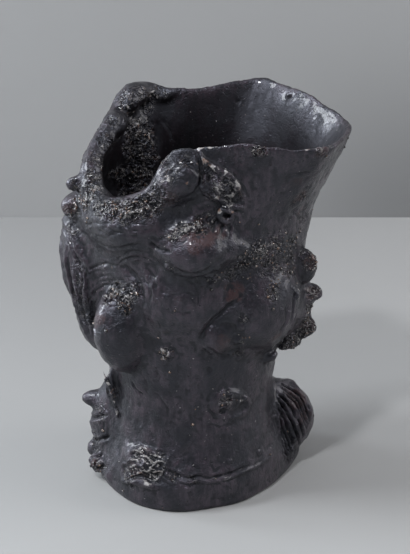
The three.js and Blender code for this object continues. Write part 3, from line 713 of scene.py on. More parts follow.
# Creases and low ridges, seen from the front: rise (below zero for a groove), width and line
creases = [
    # round the egg-shaped burl, and the crease from the rim beside it
    (-0.8, 1.0, [(-16.5, 49.4), (-11.1, 51), (-6.7, 50), (-3.6, 47.6), (-2.2, 44.5), (-2.7, 40.1),
                 (-5.2, 37), (-8.5, 35.2)]),
    (-0.35, 1.0, [(-21.8, 42), (-21, 45.5), (-18.6, 48.2)]),
    (0.45, 0.5, [(-18.5, 47), (-15, 48.5), (-11, 48.3), (-7.5, 46.5)]),
    (0.4, 0.45, [(-16, 44.5), (-12.5, 45.5), (-8.5, 44)]),
    (-0.35, 0.5, [(-19, 44.5), (-15.5, 46.3), (-10.5, 46.3)]),
    (-1.4, 0.8, [(-4.9, 57.4), (-3.1, 53.9), (-2.2, 50.3), (-1.3, 45.9), (-1.6, 41.5)]),
    # in and round the leaf
    (-0.7, 0.9, [(-0.4, 53.8), (4.5, 51.2), (9.4, 48.4), (13.4, 45), (16.6, 40.6), (18.6, 36)]),
    (0.6, 0.6, [(-1.5, 52), (4, 47.5), (10, 42.5), (15, 38)]),
    (0.7, 0.6, [(-1.5, 50), (3, 44.5), (8, 39), (12, 35)]),
    (0.6, 0.6, [(-2, 47), (1, 42), (4, 37.5), (7, 34)]),
    (-0.6, 0.6, [(1.3, 48), (6.2, 45), (10.7, 41), (13.4, 37)]),
    (-0.7, 0.8, [(-2, 38.4), (2.6, 35.2), (8, 32), (13, 29.8), (17, 29.2)]),
    (0.5, 0.8, [(4.4, 42), (9, 40.5), (13, 37.5)]),
    # wrinkles that run to the knothole
    (0.5, 0.6, [(4.5, 31), (0.4, 29.9), (-4, 28.6)]),
    (0.5, 0.6, [(4, 33), (-0.4, 33), (-4.5, 31.5)]),
    (0.5, 0.6, [(11.1, 25.6), (12, 21.8), (11.3, 18)]),
    (0.4, 0.6, [(13, 29.5), (15.6, 27), (16.5, 23)]),
    # foot of the lobe, and the short crease at its left
    (-0.6, 1.3, [(-14.7, 4.6), (-11.1, 2.3), (-6.7, 1.4), (-2.2, 1.4), (1.3, 3), (4, 5.8), (7.6, 8.5),
                 (10.2, 12)]),
    (-1.1, 0.8, [(-24, 15.6), (-22.3, 13.4), (-20, 12), (-16.9, 11.6), (-14.3, 10.2)]),
    (-0.5, 0.8, [(-25, 17.5), (-21, 17), (-17, 17.5)]),
    # wrinkles across the shoulder
    (-0.6, 0.8, [(-47, 15), (-42, 13), (-37, 12.9), (-33.4, 13.8), (-29.8, 14.3), (-25, 12.5)]),
    (-0.3, 0.6, [(-40, 7.4), (-37.9, 8.5), (-34.3, 10.2), (-30.7, 11.2), (-27.2, 10.8), (-23.6, 10)]),
    (-0.45, 0.6, [(-39.6, 5.4), (-36.1, 7.4), (-31.2, 8.6), (-26.7, 8.2), (-22, 6)]),
    (-0.6, 0.8, [(-52.1, 3.1), (-48.5, 4.9), (-44.1, 5.8), (-39.6, 5.3)]),
    (-0.3, 0.6, [(-53, 0), (-49.4, 2.4), (-45, 3.6)]),
    (-0.3, 0.6, [(-48, -0.6), (-43, 0.9), (-38.7, 0.3)]),
    (-0.35, 0.6, [(-51.2, -5.3), (-47.6, -2.5), (-43.2, -1.3), (-37.9, -1.3), (-34.3, -2.7)]),
    (-0.7, 0.7, [(-50.5, -9), (-48.5, -5.5), (-45.5, -3.6), (-41.5, -3.2)]),
    (-0.5, 0.8, [(-48, 21), (-43, 19), (-38, 20)]),
    (-0.4, 0.9, [(-33, 21.5), (-28, 20.5), (-23, 22)]),
    # the wing's edge and its folds
    (-0.9, 0.8, [(-64.4, 24), (-62.4, 21), (-60.2, 16.7), (-58.4, 12.3), (-57, 8.7), (-54.6, 4.5)]),
    (-1.0, 0.8, [(-56.6, 6.5), (-55.2, 0.9), (-54.8, -5.8), (-54.4, -12.5), (-53, -19.1), (-51.2, -25.4)]),
    (0.6, 0.8, [(-59.2, 3.1), (-57.8, -4.9), (-56.2, -11.1), (-54.4, -18.3)]),
    (-0.7, 0.7, [(-61.5, 10), (-60.5, 3), (-59, -4), (-57, -11)]),
    (-0.7, 0.8, [(-49, -9), (-49.8, -14), (-49.6, -20), (-48.6, -26)]),
    # round the pointed burl
    (-0.5, 1.2, [(16, -8), (13.8, -10.7), (10.7, -12.9), (7.6, -15.6), (4, -19.1), (0.4, -22.7),
                 (-1.3, -26.7), (-0.9, -30.3)]),
    (0.6, 0.6, [(7.6, -19.2), (11.1, -19.8), (15.6, -20.7)]),
    (-0.5, 0.9, [(0.4, -30.3), (3.6, -33.4), (7.6, -35.2), (12, -35.6)]),
    # down the right burl
    (-1.0, 0.9, [(39.8, -4.5), (39.4, -10.2), (38.9, -15.6), (37.9, -21.4)]),
    (-0.8, 0.9, [(42.5, -10.2), (40.7, -16.9), (38.1, -22.7), (35.2, -28.1), (31.2, -32.5), (25.4, -34.7)]),
    (-0.6, 0.8, [(44.5, -2), (42.6, -4.5), (41.8, -9)]),
    (-0.5, 0.9, [(33, -25), (36, -19), (36, -12)]),
    # net of soft wrinkles over the shoulder and the middle
    (-0.4, 0.7, [(-54, 22), (-50, 24), (-45, 23.5), (-40, 25)]),
    (-0.4, 0.7, [(-50, 19), (-45, 17.5), (-41, 18.5), (-36, 17)]),
    (-0.35, 0.7, [(-40, 24), (-35, 22.5), (-30, 24), (-25, 23)]),
    (-0.4, 0.7, [(-45, 21.5), (-39, 20), (-34, 18.5), (-29, 18.5)]),
    (-0.35, 0.7, [(-27, 5), (-24, 2), (-22, -2), (-22.5, -7)]),
    (-0.4, 0.7, [(-30, 1), (-26, -2), (-24, -7), (-25, -12)]),
    (-0.3, 0.7, [(-20, -6), (-14, -8), (-8, -7), (-3, -9)]),
    (-0.3, 0.7, [(-18, -14), (-12, -16), (-6, -15.5)]),
    (-0.3, 0.8, [(-9, -1), (-5, -4), (-3, -9), (-4, -14)]),
    (-0.3, 0.7, [(-22, -18), (-20, -23), (-21, -28)]),
    # on the neck
    (-0.5, 0.7, [(-32.5, -45.9), (-30.3, -49.9), (-27.2, -53)]),
    (-0.35, 0.8, [(-23.6, -51.2), (-19.6, -54.3), (-16.9, -59.2), (-16, -63.2)]),
    (-0.3, 1.0, [(-4, -62), (0, -65), (7, -66.5), (14, -64.5)]),
    (-0.35, 0.9, [(3.5, -50), (1.4, -54), (1.6, -59), (4.5, -63)]),
    # short marks on the flared wall
    (-0.5, 0.6, [(40.5, 45.9), (44.1, 46.8), (47.2, 46.8)]),
    (-0.5, 0.7, [(39, 29), (41.4, 26.5), (43, 26)]),
    # between the lumps at the left of the foot
    (-1.3, 0.9, [(-52, -62.8), (-48, -62.5), (-44, -61.5)]),
    (-1.2, 0.8, [(-51, -73), (-46.5, -72.5), (-43, -71)]),
    (-1.2, 0.8, [(-53, -80.2), (-48.5, -79.8), (-46, -79)]),
    (-1.2, 0.8, [(-52, -86), (-48, -85.5), (-44.5, -84.5)]),
    # splinters of the torn bark
    (1.1, 0.55, [(-34.7, -79.3), (-31.2, -77.5), (-28, -78.4), (-24.5, -81.5), (-22.3, -84.2)]),
    (0.9, 0.5, [(-28.9, -79.3), (-25.4, -80.6), (-23.2, -83.3)]),
    (0.9, 0.5, [(-37.9, -85), (-35.2, -82.8), (-32, -81.5), (-28.9, -81.5)]),
    (1.1, 0.6, [(-37.4, -90.4), (-33.4, -89.1), (-28.9, -86.8), (-24.5, -85.9), (-21.8, -82.8),
                (-17.8, -81.9)]),
    (0.9, 0.6, [(-37, -91.3), (-32.5, -91.3), (-28, -90.4), (-25.4, -92.2), (-23.6, -94.4)]),
    (0.9, 0.5, [(-24.5, -88.2), (-21.8, -90.4), (-18.7, -85.9)]),
    (0.9, 0.5, [(-20, -88.2), (-15.6, -91.3), (-13.4, -92.2)]),
    (0.8, 0.45, [(-12, -85.9), (-9.4, -89.5), (-4.5, -90.8)]),
    (0.8, 0.5, [(-34, -84.5), (-30, -84), (-26.5, -84.8)]),
    # the ledge round the foot
    (1.0, 0.55, [(-20.9, -85.9), (-17.4, -87.7), (-12.9, -90), (-7.6, -91.7), (-3.1, -90.8), (1.8, -91.3),
                 (6.7, -90.4), (11.1, -89.1), (15.6, -87.3), (20, -85.5), (25.4, -82.4), (29.8, -79.3)]),
    (-0.9, 0.6, [(-20, -83.9), (-16.4, -85.9), (-12, -88.2), (-7.2, -89.6), (-2.8, -88.8), (2.2, -89.3),
                 (7, -88.4), (11.4, -87.1), (16, -85.3), (20.4, -83.3)]),
    (0.5, 0.6, [(-12.9, -90), (-11, -92.5), (-9, -93)]),
    (0.5, 0.6, [(6, -90.4), (9, -92.6), (13, -93)]),
    # gouge marks on the inner wall
    (-0.18, 0.6, [(-1, 76.5), (3.5, 76), (6, 74)]),
    (-0.4, 0.7, [(-19, 70), (-16.5, 66), (-14, 60.5)]),
]

# Strands that fan over the root fin, from its upper left edge to its outer edge
fin = {
    "starts": ((33.2, -47.5), (33.6, -63.5)),
    "middles": ((41.5, -52.5), (34.6, -75.0)),
    "ends": ((46.6, -64.0), (37.5, -84.5)),
    "strands": 12,
    "uneven": 0.035,
    "unevenTurns": 31.0,
    "depth": -1.6,
    "width": 0.5,
}


def finStrands():
    evenly = np.linspace(0.0, 1.0, fin["strands"])
    shares = (evenly + fin["uneven"] * np.sin(evenly * fin["unevenTurns"]))[:, None]
    columns = []
    for first, last in (fin["starts"], fin["middles"], fin["ends"]):
        columns.append(np.array(first) * (1.0 - shares) + np.array(last) * shares)
    lines = np.stack(columns, axis=1)
    return [(fin["depth"], fin["width"], [tuple(point) for point in line]) for line in lines]


creases += finStrands()

# Beads and pits, seen from the front: across, up, radius and rise
beads = [
    # leaf and knothole
    (2.2, 44.5, 1.5, -1.2), (6.7, 38.9, 2.1, 0.9), (9.8, 39.4, 1.8, 0.9), (11.8, 37.2, 1.5, 0.9),
    (9.4, 28.5, 0.8, -0.5), (11.6, 27.6, 0.8, 0.7), (13.4, 35, 1.2, 0.6), (8.9, 36.4, 1.1, 0.5),
    (4.6, 40.6, 1.2, 0.5),
    # crest of the front lobe
    (-2.2, 23.6, 1.6, 1.0), (0.6, 22.5, 1.6, 1.0), (-0.8, 21.2, 1.2, 0.7),
    # below the lobe
    (-16, 4.2, 2.0, 1.3), (5.8, 4, 1.2, 0.8), (3.1, 1.2, 1.5, 1.0), (4.9, -0.9, 1.4, 0.9),
    (3.1, -3.1, 1.2, 0.8), (0.9, 0.6, 1.2, 0.7), (-21.8, -1.8, 1.2, 0.6), (-24, -4, 1.0, 0.4),
    # wart cluster at the middle left
    (-18.7, -32.5, 1.5, 1.2), (-15.6, -34.3, 1.5, 1.2), (-17.8, -36.1, 1.2, 0.9), (-21, -32, 1.1, 0.7),
    (-16.9, -31, 1.0, 0.7),
    # round the pointed burl
    (17, -18.7, 1.2, 0.8), (15.6, -22.3, 1.6, 1.1), (14.3, -28.1, 1.7, 1.1), (16, -33, 1.2, 0.7),
    (12, -33.8, 1.2, 0.7), (15.1, -36.1, 1.0, 0.6), (20.3, -17.8, 0.9, 0.5),
    # on the right burl
    (41, -7.6, 2.1, 1.4), (39.2, -5.3, 1.4, 0.9),
    # neck and low wart
    (2.2, -41.4, 1.4, -0.7), (9.0, -55.6, 3.2, -0.9), (13.6, -56.6, 2.6, -0.9), (17.8, -54.3, 1.7, 1.2),
    (15.4, -55.2, 1.1, 0.7), (8, -59.7, 1.6, -1.3), (11.5, -55, 1.4, 0.6),
    # skirt
    (-7.6, -94.4, 1.0, 0.6), (11.1, -81.9, 1.0, 0.6), (24, -77.9, 1.1, 0.7), (-22, -93.5, 1.2, 0.6),
    # rim
    (24.7, 54.6, 1.2, 1.0), (27.5, 55.2, 1.0, 0.8), (23, 56.5, 1.4, 0.7), (51, 56, 1.3, 0.8),
    (54, 56.5, 1.2, 0.8), (-23.6, 80.6, 1.1, -1.0), (-21.2, 85, 1.2, -0.8), (37.5, 81, 1.1, 0.7),
    (14.7, 78, 0.9, -0.5),
    # egg-shaped burl
    (-8, 41.4, 0.9, 0.6), (-10.5, 42.5, 0.8, 0.4),
    # shoulder
    (-50.3, 17.8, 1.3, 0.8), (-48.8, 18.4, 1.0, 0.5), (-44.5, -9.2, 1.7, 0.9), (-35.6, -14.3, 1.6, 1.2),
    (-37.5, -12.5, 1.3, 0.9), (-33.5, -13, 1.3, 0.9), (-34.5, -9.4, 1.6, 0.8), (-30.5, -9, 1.3, 0.8),
]

# Patches where the skin is gnarled like worm casts: across, up, reach and strength
gnarls = [
    # the rough band round the notch
    (-59, 29.4, 4.5, 0.9), (-53.5, 32, 6, 1.0), (-46.8, 32, 6, 1.0), (-41.5, 30, 6, 1.0),
    (-34.5, 29, 6.5, 1.0), (-27.5, 30.5, 6, 1.0), (-22.5, 33, 5, 0.9), (-51, 38.7, 6, 0.9),
    (-56.5, 38.7, 5, 0.8), (-49, 45.5, 4, 0.8), (-46.5, 52, 5, 0.8), (-45, 59, 4, 0.7), (-49.5, 52, 3, 0.6),
    (-42, 46, 3, 0.6),
    # inside the notch
    (-33.5, 67.7, 6, 1.0), (-28, 65.5, 7, 1.0), (-31, 58.8, 8, 1.0), (-29, 52, 8, 1.0), (-29, 45.5, 8, 1.0),
    (-38, 45.5, 6, 0.7), (-34.5, 38.7, 6, 0.8), (-25, 60, 5, 0.8), (-24.5, 52, 5, 0.8),
    # crown
    (-34, 81, 5, 0.6), (-29, 82, 5, 0.6), (-23.5, 81, 5, 0.6), (-36, 75.5, 4, 0.6), (-41, 70, 4, 0.6),
    (-43, 62, 4, 0.6), (-20, 83, 4, 0.5), (-26, 76, 5, 0.6),
    # top of the hanging burl
    (-40, -6, 5, 0.9), (-33.5, -8, 5.5, 1.0), (-35.5, -13, 4, 1.0), (-43, -9, 4, 0.8), (-30.5, -6, 4, 0.6),
    # wing
    (-55, -10, 6, 0.5), (-55.5, -3.5, 5, 0.4), (-52, -19, 5, 0.5), (-57, 5, 5, 0.4), (-58, 22, 5, 0.5),
    # leaf, egg-shaped burl and crest of the front lobe
    (8, 40.5, 6, 0.55), (1.5, 46, 4, 0.5), (12, 36, 5, 0.6), (4, 37, 5, 0.5), (-16, 45, 6, 0.35),
    (-20.5, 36.5, 6, 0.6), (-15, 34.5, 5, 0.4), (-9, 52, 4, 0.5), (-18.5, 52, 4, 0.6), (-14, 18.5, 4, 0.8),
    (-9, 21, 4, 0.9), (-3, 23, 4, 0.9), (3, 25.5, 4, 0.5), (9, 28.5, 4, 0.3),
    # foot
    (-29, -79.3, 5, 0.57), (-22.5, -81.5, 5, 0.57), (-31, -86, 5, 0.57), (-24.5, -88, 5, 0.57),
    (-34.5, -89.5, 5, 0.8), (-20, -85, 4, 0.6), (-46.5, -86, 5, 0.6), (-48.5, -74, 5, 0.5),
    (-42, -52.5, 3.5, 0.6), (-39.5, -59, 3, 0.6), (-47, -60, 5, 0.5), (-14, -88.5, 3, 0.5),
    (-6, -91, 3, 0.4), (10, -89.5, 3, 0.4),
    # speckled band and the warts of the middle
    (18, 6.7, 7, 0.7), (24, 10, 7, 0.7), (31, 13, 7, 0.7), (38, 13, 6, 0.6), (29, 5, 7, 0.6),
    (12, 3, 5, 0.6), (38, 5, 6, 0.6), (30.3, -6.7, 4, 0.5), (-17.5, -34, 3.5, 0.8), (15.5, -33.5, 3.5, 0.5),
    (17, -19, 3, 0.5), (-16, 4.2, 3, 0.7),
    # right edge, low wart and rim
    (47.6, 6.7, 5, 0.8), (49, -7, 5, 0.8), (47, -14, 4, 0.8), (46, -21, 5, 0.9), (38, -30, 6, 0.9),
    (42, -27, 5, 0.9), (44, 12, 4, 0.5), (10, -55.5, 5, 0.6), (23.6, 56.5, 3.4, 0.8), (51.5, 56, 3, 0.6),
    (42, 35, 4, 0.5), (44, 26, 4, 0.4),
]

# The same for the sides and back, by angle and share of the height
farGnarls = [
    (150, 0.62, 9, 0.6), (118, 0.7, 9, 0.7), (95, 0.5, 8, 0.6), (60, 0.6, 9, 0.6), (30, 0.55, 9, 0.6),
    (5, 0.56, 8, 0.6), (10, 0.4, 7, 0.7), (160, 0.12, 9, 0.7), (120, 0.09, 10, 0.7), (80, 0.1, 9, 0.6),
    (45, 0.11, 9, 0.7), (165, 0.42, 8, 0.5), (135, 0.35, 6, 0.6), (20, 0.8, 6, 0.4), (85, 0.83, 7, 0.4),
    (-172, 0.1, 6, 0.5), (175, 0.85, 8, 0.7), (160, 0.9, 8, 0.7),
]

# Patches of long wrinkles: across, up, reach, strength, and the way they run on the picture plane
wrinkles = [
    (-14, 46, 8, 0.55, (1.0, 0.6)), (8, 41, 8, 0.6, (1.0, -0.8)), (2, 47, 6, 0.5, (1.0, -0.7)),
    (-10, 20, 7, 0.5, (1.0, 0.35)), (-30, 82, 8, 0.5, (1.0, 0.1)), (-40, 68, 8, 0.5, (0.5, 1.0)),
    (38.5, -62, 13, 1.0, (0.42, -1.0)), (43, -56, 7, 0.7, (0.6, -1.0)), (37, -75, 8, 0.7, (-0.2, -1.0)),
    (-55, 0, 8, 0.6, (0.2, -1.0)), (-54, -14, 9, 0.7, (0.15, -1.0)), (-58, 14, 7, 0.4, (0.2, -1.0)),
    (-41, -50, 6, 0.7, (0.25, -1.0)), (-46, -66, 9, 0.5, (0.1, -1.0)), (-25, -84, 9, 1.1, (1.0, -0.3)),
    (-47, -84, 7, 0.5, (0.5, -1.0)),
]
farWrinkles = [
    (118, 0.5, 16, 0.5), (60, 0.3, 18, 0.5), (150, 0.3, 16, 0.5), (90, 0.75, 16, 0.35), (25, 0.12, 16, 0.8),
    (178, 0.5, 14, 0.5), (100, 0.12, 18, 0.6), (35, 0.45, 14, 0.4),
]

# Each noise has the size of its bumps, its layers and its seed, and each bend the size of its noise,
# how far it pushes and its seed.
noises = {
    "swell": (24.0, 2, 3),
    "ripple": (7.5, 3, 7),
    "dimple": (3.6, 2, 23),
    "worm": (3.7, 3, 41),
    "lump": (9.0, 2, 77),
    "grain": (2.2, 2, 17),
}
bends = {
    "edge": (6.0, 2.4, 97),
    "crease": (5.0, 0.7, 83),
    "worm": (5.0, 3.4, 31),
    "dimple": (9.0, 2.0, 61),
}
# Heights in millimetres, and where the relief is held back
relief = {
    "swell": 0.55,
    "ripple": 0.55,
    "rippleStretch": (1.0, 1.0, 0.75),
    "dimple": 0.34,
    "worm": 1.5,
    "wormLevel": 0.42,
    "lump": 1.3,
    "grain": 0.06,
    "grainWhereGnarled": 5.0,
    "calmInside": 0.85,
    "footRun": (0.6, 4.0),
    "insideRun": (1.5, 4.5),
}
creaseShape = {
    "reach": 3.0,
    "ends": 0.2,
    "least": 0.25,
    "bankHeight": 0.35,
    "bankAt": 1.8,
    "uneven": 0.7,
    "unevenNoise": (4.0, 87),
}
beadShapes = {"reach": 1.5, "edge": 1.3, "power": 0.7}
patchShape = {"over": 1.25, "full": 0.35}
wrinkleShape = {
    "height": 1.15,
    "level": 0.4,
    "size": 2.3,
    "layers": 2,
    "flatten": 0.86,
    "over": 1.2,
    "full": 0.4,
    "bend": (9.0, 1.6),
    "bendSeed": 50,
    "seed": 90,
}


# Indexes of the points within reach of a line, their distances, and shares along the line.
def nearLine(points, line, reach):
    low = line.min(axis=0) - reach
    high = line.max(axis=0) + reach
    near = np.nonzero(((points > low) & (points < high)).all(axis=1))[0]
    place = points[near]
    distance = np.full(len(near), farAway)
    share = np.zeros(len(near))
    for number, (start, end) in enumerate(zip(line[:-1], line[1:])):
        side = end - start
        along = np.clip((place - start) @ side / max(side @ side, 1e-6), 0.0, 1.0)
        gap = np.linalg.norm(place - start - along[:, None] * side, axis=1)
        closer = gap < distance
        distance[closer] = gap[closer]
        share[closer] = (number + along[closer]) / (len(line) - 1)
    return near, distance, share


# Indexes of the points in the cube that reaches so far from a place
def nearPlace(points, place, reach):
    return np.nonzero((np.abs(points - place) < reach).all(axis=1))[0]


# A groove has a low bank to each side.
def creasePush(points):
    points = bentPoints(points, *bends["crease"])
    strength = 1.0 + creaseShape["uneven"] * softNoise(points, *creaseShape["unevenNoise"])
    least = creaseShape["least"]
    push = np.zeros(len(points))
    for rise, width, line in creases:
        marks = seenPoints(field, smoothLine(line))
        near, distance, share = nearLine(points, marks, width * creaseShape["reach"])
        ends = smoothStep(np.minimum(share, 1.0 - share), 0.0, creaseShape["ends"])
        profile = np.exp(-((distance / width) ** 2))
        if rise < 0:
            bank = np.exp(-(((distance - width * creaseShape["bankAt"]) / width) ** 2))
            profile = profile - creaseShape["bankHeight"] * bank
        push[near] += rise * profile * (least + (1.0 - least) * ends) * strength[near]
    return push


def beadPush(points):
    push = np.zeros(len(points))
    places = seenPoints(field, [bead[:2] for bead in beads])
    for place, (_, _, radius, rise) in zip(places, beads):
        near = nearPlace(points, place, radius * beadShapes["reach"])
        share = np.linalg.norm(points[near] - place, axis=1) / (radius * beadShapes["edge"])
        dome = rise * np.maximum(1.0 - share**2, 0.0) ** beadShapes["power"]
        push[near] = np.where(np.abs(dome) > np.abs(push[near]), dome, push[near])
    return push


# How far each point lies in round patches. The points come bent, so that no patch looks round.
def patchMask(bent, places, rows):
    mask = np.zeros(len(bent))
    for place, (_, _, reach, strength) in zip(places, rows):
        edge = reach * patchShape["over"]
        near = nearPlace(bent, place, edge)
        share = np.linalg.norm(bent[near] - place, axis=1) / edge
        inPatch = strength * (1.0 - smoothStep(share, patchShape["full"], 1.0))
        mask[near] = np.maximum(mask[near], inPatch)
    return mask


def seenMask(bent, rows):
    return patchMask(bent, seenPoints(field, [row[:2] for row in rows]), rows)


def gnarlMask(bent):
    far = patchMask(bent, roundPoints(field, [row[:2] for row in farGnarls]), farGnarls)
    return np.maximum(seenMask(bent, gnarls), far)


def wrinklePush(points):
    shape = wrinkleShape
    push = np.zeros(len(points))
    starts = seenPoints(field, [row[:2] for row in wrinkles])
    ends = seenPoints(field, [(row[0] + row[4][0] * 2, row[1] + row[4][1] * 2) for row in wrinkles])
    rows = [(start, unit(end - start), row[2], row[3]) for start, end, row in zip(starts, ends, wrinkles)]
    farPlaces = roundPoints(field, [row[:2] for row in farWrinkles])
    upward = np.array([0.0, 0.0, 1.0])
    rows += [(place, upward, row[2], row[3]) for place, row in zip(farPlaces, farWrinkles)]
    for number, (place, way, reach, strength) in enumerate(rows):
        edge = reach * shape["over"]
        near = nearPlace(points, place, edge)
        local = points[near] - place
        share = np.linalg.norm(local, axis=1) / edge
        local = bentPoints(local, *shape["bend"], shape["bendSeed"] + number)
        flat = local - (local @ way)[:, None] * way * shape["flatten"]
        crest = ridgeNoise(flat, shape["size"], shape["layers"], shape["seed"] + number)
        fade = 1.0 - smoothStep(share, shape["full"], 1.0)
        push[near] += (crest - shape["level"]) * strength * shape["height"] * fade
    return push


# 0 on the outside of the trunk and 1 on the wall of the bore.
def insideShare(points):
    level = np.clip(points[:, 2], 0.0, trunk["height"])
    cx, cy, _, _ = sectionAt(level)
    turn = np.arctan2(points[:, 1] - cy, points[:, 0] - cx)
    radius = np.hypot(points[:, 0] - cx, points[:, 1] - cy)
    turns = grid["turns"]
    row = np.clip((turn + math.pi) / (2 * math.pi) * turns, 0, turns - 0.001)
    column = np.clip((level - gridLow[2]) / grid["cell"], 0, bareTable.shape[1] - 1.001)
    i = row.astype(int)
    j = column.astype(int)
    a = row - i
    b = column - j
    bare = (
        bareTable[i, j] * (1 - a) * (1 - b)
        + bareTable[i + 1, j] * a * (1 - b)
        + bareTable[i, j + 1] * (1 - a) * b
        + bareTable[i + 1, j + 1] * a * b
    )
    return smoothStep(bare - radius, *relief["insideRun"])


# Pushes the skin in and out by its swells, creases, beads, gnarls and wrinkles.
def raiseRelief(points, out):
    inside = insideShare(points)
    foot = smoothStep(points[:, 2], *relief["footRun"])
    gnarl = gnarlMask(bentPoints(points, *bends["edge"]))
    swell = layeredNoise(points, *noises["swell"]) * relief["swell"]
    stretch = np.array(relief["rippleStretch"])
    ripple = layeredNoise(points * stretch, *noises["ripple"]) * relief["ripple"]
    worm = ridgeNoise(bentPoints(points, *bends["worm"]), *noises["worm"]) - relief["wormLevel"]
    dimple = layeredNoise(bentPoints(points, *bends["dimple"]), *noises["dimple"]) * relief["dimple"]
    push = (swell + ripple + dimple) * (1.0 - relief["calmInside"] * inside)
    push += gnarl * (worm * relief["worm"] + layeredNoise(points, *noises["lump"]) * relief["lump"])
    grain = layeredNoise(points, *noises["grain"]) * relief["grain"]
    push += grain * (1.0 + relief["grainWhereGnarled"] * gnarl)
    push += creasePush(points) + wrinklePush(points)
    push = push * foot
    push += beadPush(points)
    return points + out * push[:, None]


skinPoints = raiseRelief(skinPoints, skinOut)
print("relief raised")


def makePiece(name, points, faces):
    mesh = bpy.data.meshes.new(name)
    corners = faces.shape[1]
    mesh.vertices.add(len(points))
    mesh.vertices.foreach_set("co", toFrame(points).astype(np.float32).ravel())
    mesh.loops.add(len(faces) * corners)
    mesh.loops.foreach_set("vertex_index", faces.astype(np.int32).ravel())
    mesh.polygons.add(len(faces))
    mesh.polygons.foreach_set("loop_start", np.arange(len(faces), dtype=np.int32) * corners)
    mesh.update(calc_edges=True)
    mesh.validate()
    mesh.shade_smooth()
    return addToScene(name, mesh)


# Makes a plain mesh of what a piece's modifiers give, and removes them.
def plainMesh(piece):
    graph = bpy.context.evaluated_depsgraph_get()
    mesh = bpy.data.meshes.new_from_object(piece.evaluated_get(graph))
    piece.modifiers.clear()
    piece.data = mesh
    mesh.shade_smooth()


# Thins a mesh to a number of triangles, keeping them where the shape needs them.
def thinMesh(piece, triangles):
    count = sum(polygon.loop_total - 2 for polygon in piece.data.polygons)
    thin = piece.modifiers.new("thin", "DECIMATE")
    thin.ratio = min(1.0, triangles / count)
    plainMesh(piece)


trunkPiece = makePiece("carved_trunk", skinPoints, skinQuads)
thinMesh(trunkPiece, skinning["triangles"])
print("trunk thinned:", len(trunkPiece.data.polygons), "faces")

# Places where the lacquer has worn through to red-brown wood: across, up, reach and strength
wornPlaces = [
    (-6.7, 16.5, 5, 1.0), (0, 17.4, 6, 1.0), (5.8, 20, 5, 0.9), (-4.5, 13.5, 5, 0.8), (12, -6.7, 6, 0.9),
    (42.3, 35.6, 5, 0.9), (7.6, -29.4, 6, 0.7), (31.6, -27.2, 4, 0.8), (47.6, 6.7, 5, 0.8),
    (48.1, -7.1, 5, 0.8), (45.9, -21.4, 6, 0.8), (25.4, 55.7, 4, 0.7), (52.1, 56.1, 5, 0.7),
    (-48.1, -19.1, 5, 0.7), (-49, -81.9, 2.5, 1.4), (-15.6, 34.3, 7, 0.6), (-31.2, -85.9, 6, 0.8),
    (41, -53.4, 7, 0.9), (11, -57, 5, 0.5), (60, 62, 6, 0.5), (-20, 32, 5, 0.6), (-61, 30, 4, 0.9),
    (-59, 34, 3, 0.8), (30, -48, 5, 0.5), (17, -51, 5, 0.5), (40, 42, 4, 0.6), (43, 30, 4, 0.7),
    (-46, -20, 3, 0.7), (-3, 24, 3, 0.8), (44, -62, 5, 0.7), (-27, -78, 4, 0.8), (36, 80, 7, 0.4),
    (-2, 70, 9, 0.4), (20, -30, 9, 0.3), (-10, -12, 9, 0.3), (8, 50, 10, 0.25),
]

# Torn and worn bark, bare of lacquer, and spots made whitish as painted highlights, such as the knothole's
# ring, the splinter and the bright lips: across, up, reach and strength
bareAndGlintPlaces = [
    (-29, -79.3, 5, 0.9), (-22.5, -81.5, 5, 1.0), (-31, -86, 5, 0.9), (-24.5, -88, 5, 1.0),
    (-20, -85, 4, 0.8), (-44, -43.5, 1.6, 1.1), (-43, -47, 1.6, 1.1), (-41.8, -51, 1.6, 0.9),
    (-40.5, -55, 1.5, 0.7), (-39, -60, 1.6, 1.1), (-51, 43, 2.2, 1.1), (-48, 40, 2.2, 1.1),
    (-45, 32.5, 2.5, 1.1), (-41, 31, 2.5, 1.1), (-35, 29.5, 4, 0.9), (-29, 29.5, 4, 0.9), (-24, 32, 4, 0.7),
    (-52, 35, 4, 0.7), (-57, 34, 4, 0.6), (-41, -7, 5, 0.6), (-34, -9, 4, 0.8), (-38, -12, 3, 0.6),
    (-1, 52, 3.5, 0.7), (3, 49.5, 2.5, 0.8), (9, 46, 2, 0.8), (14, 41, 2.4, 0.9), (11, 37, 4, 0.9),
    (6.5, 39, 3.5, 0.8), (5, 35, 2, 0.7), (12, 32.2, 2, 0.7), (9.4, 31.8, 1.5, 1.0), (6.6, 29.5, 1.5, 1.0),
    (12.4, 29.5, 1.5, 0.9), (4, 25, 2.2, 0.8), (6.6, 22.5, 2.2, 0.8), (9.2, 21, 2, 0.7),
    (-15, 18, 3.2, 1.0), (-11.5, 20, 3.2, 1.1), (-7.5, 22, 3.2, 1.1), (-3, 23.5, 2.6, 0.9),
    (1, 25, 2.5, 0.8), (-4.5, 57, 1.6, 0.9), (-1.5, 57.8, 1.6, 1.0), (2, 58.3, 1.6, 1.0),
    (5.5, 58.6, 1.6, 0.9), (9, 58.8, 1.6, 0.7), (38, 58, 2, 0.7), (46, 57, 2, 0.7), (-18.5, 44, 2.5, 0.8),
    (-15.5, 43, 2.5, 0.9), (-11, 49, 2.5, 0.5), (-8, 42, 2, 0.6), (-12, 52, 2.5, 0.5), (-31, 60, 8, 0.3),
    (-27, 66, 4, 0.4), (-30, 70, 4, 0.5), (-36, 75, 3, 0.6), (-24, 83, 3, 0.6), (-29, 80, 3, 0.5),
    (-18, -34, 3.5, 1.15), (24, 56, 3, 0.5), (52, 56, 3, 0.5), (15.6, -54.8, 2.5, 0.6), (-48, 26, 3, 0.3),
    (-53, -16, 4, 0.3), (47, 6, 4, 0.4), (46, -21, 4, 0.5), (38, -30, 5, 0.5), (41, -6.5, 2.5, 0.5),
    (-48, -72, 4, 0.4), (-47, -83, 4, 0.5),
]

